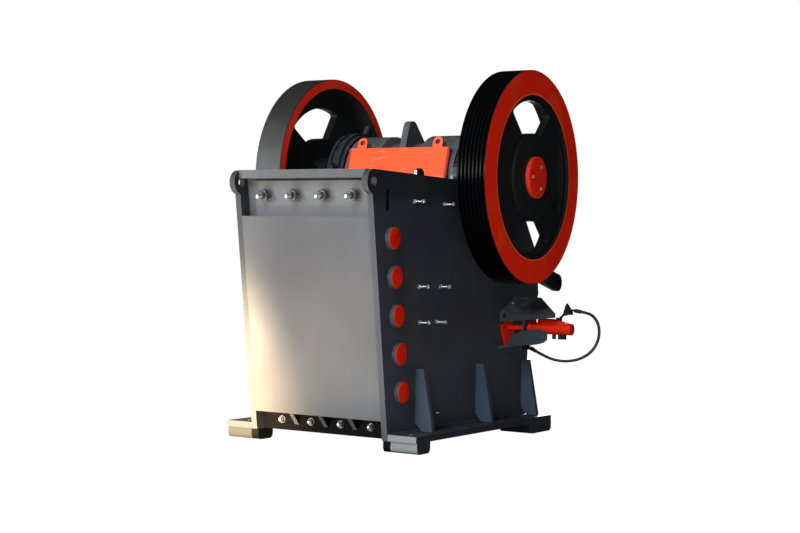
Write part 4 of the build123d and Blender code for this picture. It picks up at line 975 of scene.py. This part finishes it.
COVER_RED = red_paint("hub_cover_red", RED, COVER_SIDE_RED)
covers = make_piece("hub_covers", "rotor", COVER_RED, [wheel_disc(COVER_EDGE, 72)])
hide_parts("hub_cap_right", "hub_cap_left")
cap_bolt = bolt((0.017, 0.003), (0.013, 0.010))
cap_places = round_shaft(COVER_X, 0.105, np.radians((60.0, 180.0, 300.0)))
make_piece("hub_cap_bolts", "rotor", YELLOW_ZINC, [
    both_hands(set_at(cap_bolt, cap_places)),
])

# Caps welded over the tie ends, and the pale bars beside the guard
TIE_Z = (0.457, 0.757, 1.057, 1.357, 1.657)
TIE_CAP = [(-0.004, 0.088), (0.030, 0.088), (0.034, 0.0865), (0.036, 0.083), (0.037, 0.060)]
tie_places = [(SIDE_X, front_y(z, TIE_SETBACK), z) for z in TIE_Z]
make_piece("tie_end_caps", "frame", BY_NODE["tie_bosses_right"], [
    both_hands(set_at(turned(TIE_CAP, 48), tie_places)),
])
PALE_BAR = frame_paint("pale_bar_paint", (0.15, 0.15, 0.145), (0.21, 0.21, 0.20))
make_piece("guard_rest_bars", "frame", PALE_BAR, [
    both_hands(block((PLATE_X, -0.150, 2.190), (0.016, 0.062, 0.016))),
])

# Screws round the bearing caps' covers and studs on the caps' ears
screw_places = round_shaft(0.736, 0.190, np.arange(12) * PI / 6 + 0.1)
ear_places = [(PLATE_X, SHAFT.y + side * 0.447, 2.279) for side in (-1, 1)]
ear_stud = joined(bolt((0.036, 0.006), (0.033, 0.028)), thread(0.020, 0.0, 0.058))
make_piece("bearing_cap_fastenings", "frame", MATERIALS["black_paint"], [
    both_hands(set_at(bolt((0.015, 0.003), (0.012, 0.009)), screw_places)),
    both_hands(set_at(ear_stud, ear_places, UPWARD)),
])

# Grease nipples, half-round fittings with a stud on their fronts, the hoods' and valves' screws,
# and a thin black rod along the upper recess, painted shade standing for the shadow line under the top
# plate
NIPPLE = [
    (0.0, 0.010), (0.010, 0.012), (0.014, 0.008), (0.022, 0.006),
    (0.026, 0.009), (0.031, 0.008), (0.034, 0.004),
]
OFF_THRUST = (0.0, -math.sin(THRUST_TILT), math.cos(THRUST_TILT))
small_stud = joined(hex_head(0.017, 0.014), thread(0.009, 0.0, 0.034))
make_piece("small_bright_fittings", "frame", BRIGHT_STEEL, [
    both_hands(set_at(turned(NIPPLE), (SIDE_X, -0.409, 0.258))),
    both_hands(set_at(small_stud, (0.622, -0.792, 2.194), FORWARD)),
    both_hands(set_at(cap_bolt, (0.683, 0.876, 1.1451), OFF_THRUST)),
])
# Painted shade: a thin black rod standing for the shadow line under the top plate
SHADOW_ROD_Z = 2.103
recess_shadow_rod = [(x, front_y(SHADOW_ROD_Z, RECESS_SETBACK - 0.002), SHADOW_ROD_Z) for x in (-0.518, 0.016, 0.550)]
make_piece("dark_fittings", "frame", MATERIALS["black_paint"], [
    both_hands(half_round((PLATE_X, -0.742, TOP_Z), 0.054, 0.018)),
    both_hands(set_at(cap_bolt, (0.684, 0.703, 1.034), FORWARD)),
    both_hands(set_at(bolt((0.014, 0.006), (0.011, 0.012)), (1.2095, 0.865, 1.140), UPWARD)),
    tube(recess_shadow_rod, 0.006),
])

# Weld runs of the frame, on both hands
SEAM = MATERIALS["frame_paint"]
GUSSET_Y = (-0.752, 0.273, 1.153)
GUSSET_T = 0.045
GUSSET_Z = (0.202, 0.628)
FOOT_SEAM_X = (SIDE_X + 0.062, SIDE_X + 0.158)
gusset_runs = []
for y in GUSSET_Y:
    for face in (y, y + GUSSET_T):
        gusset_runs.append(bead([(SIDE_X, face, z) for z in GUSSET_Z]))
        gusset_runs.append(bead([(x, face, FLANGE_Z) for x in FOOT_SEAM_X]))
boss_runs = [bead(circle(place, 0.089), 0.005, 0.010, True) for place in tie_places]
recess_run = [(INNER_X, front_y(z, RECESS_SETBACK), z) for z in (1.814, 2.106)]
plate_runs = [
    bead([(SIDE_X, -1.168, FLANGE_Z), (SIDE_X, 1.252, FLANGE_Z)], 0.009),
    bead([(SIDE_X, 0.704, 0.980), (SIDE_X, 0.704, 1.056), (SIDE_X, 0.978, 1.196)], 0.007),
    bead([(SIDE_X, 0.699, 0.743), (SIDE_X, 0.699, 0.764)], 0.006),
    bead([(SIDE_X, 0.867, 0.762), (SIDE_X, 0.986, 0.762)], 0.006),
    bead(recess_run, 0.008),
    bead([(INNER_X, 1.261, 0.332), (INNER_X, 1.261, 0.714), (INNER_X, 1.460, 1.224)], 0.008),
    bead([(INNER_X, 1.256, 0.094), (INNER_X, 1.256, 0.298), (INNER_X, 1.207, 0.301)], 0.008),
]
welds = {"gusset_welds": gusset_runs, "boss_welds": boss_runs, "plate_welds": plate_runs}
for name, runs in welds.items():
    make_piece(name, "frame", SEAM, [both_hands(joined(*runs))])

bpy.context.scene.view_settings.view_transform = "Standard"
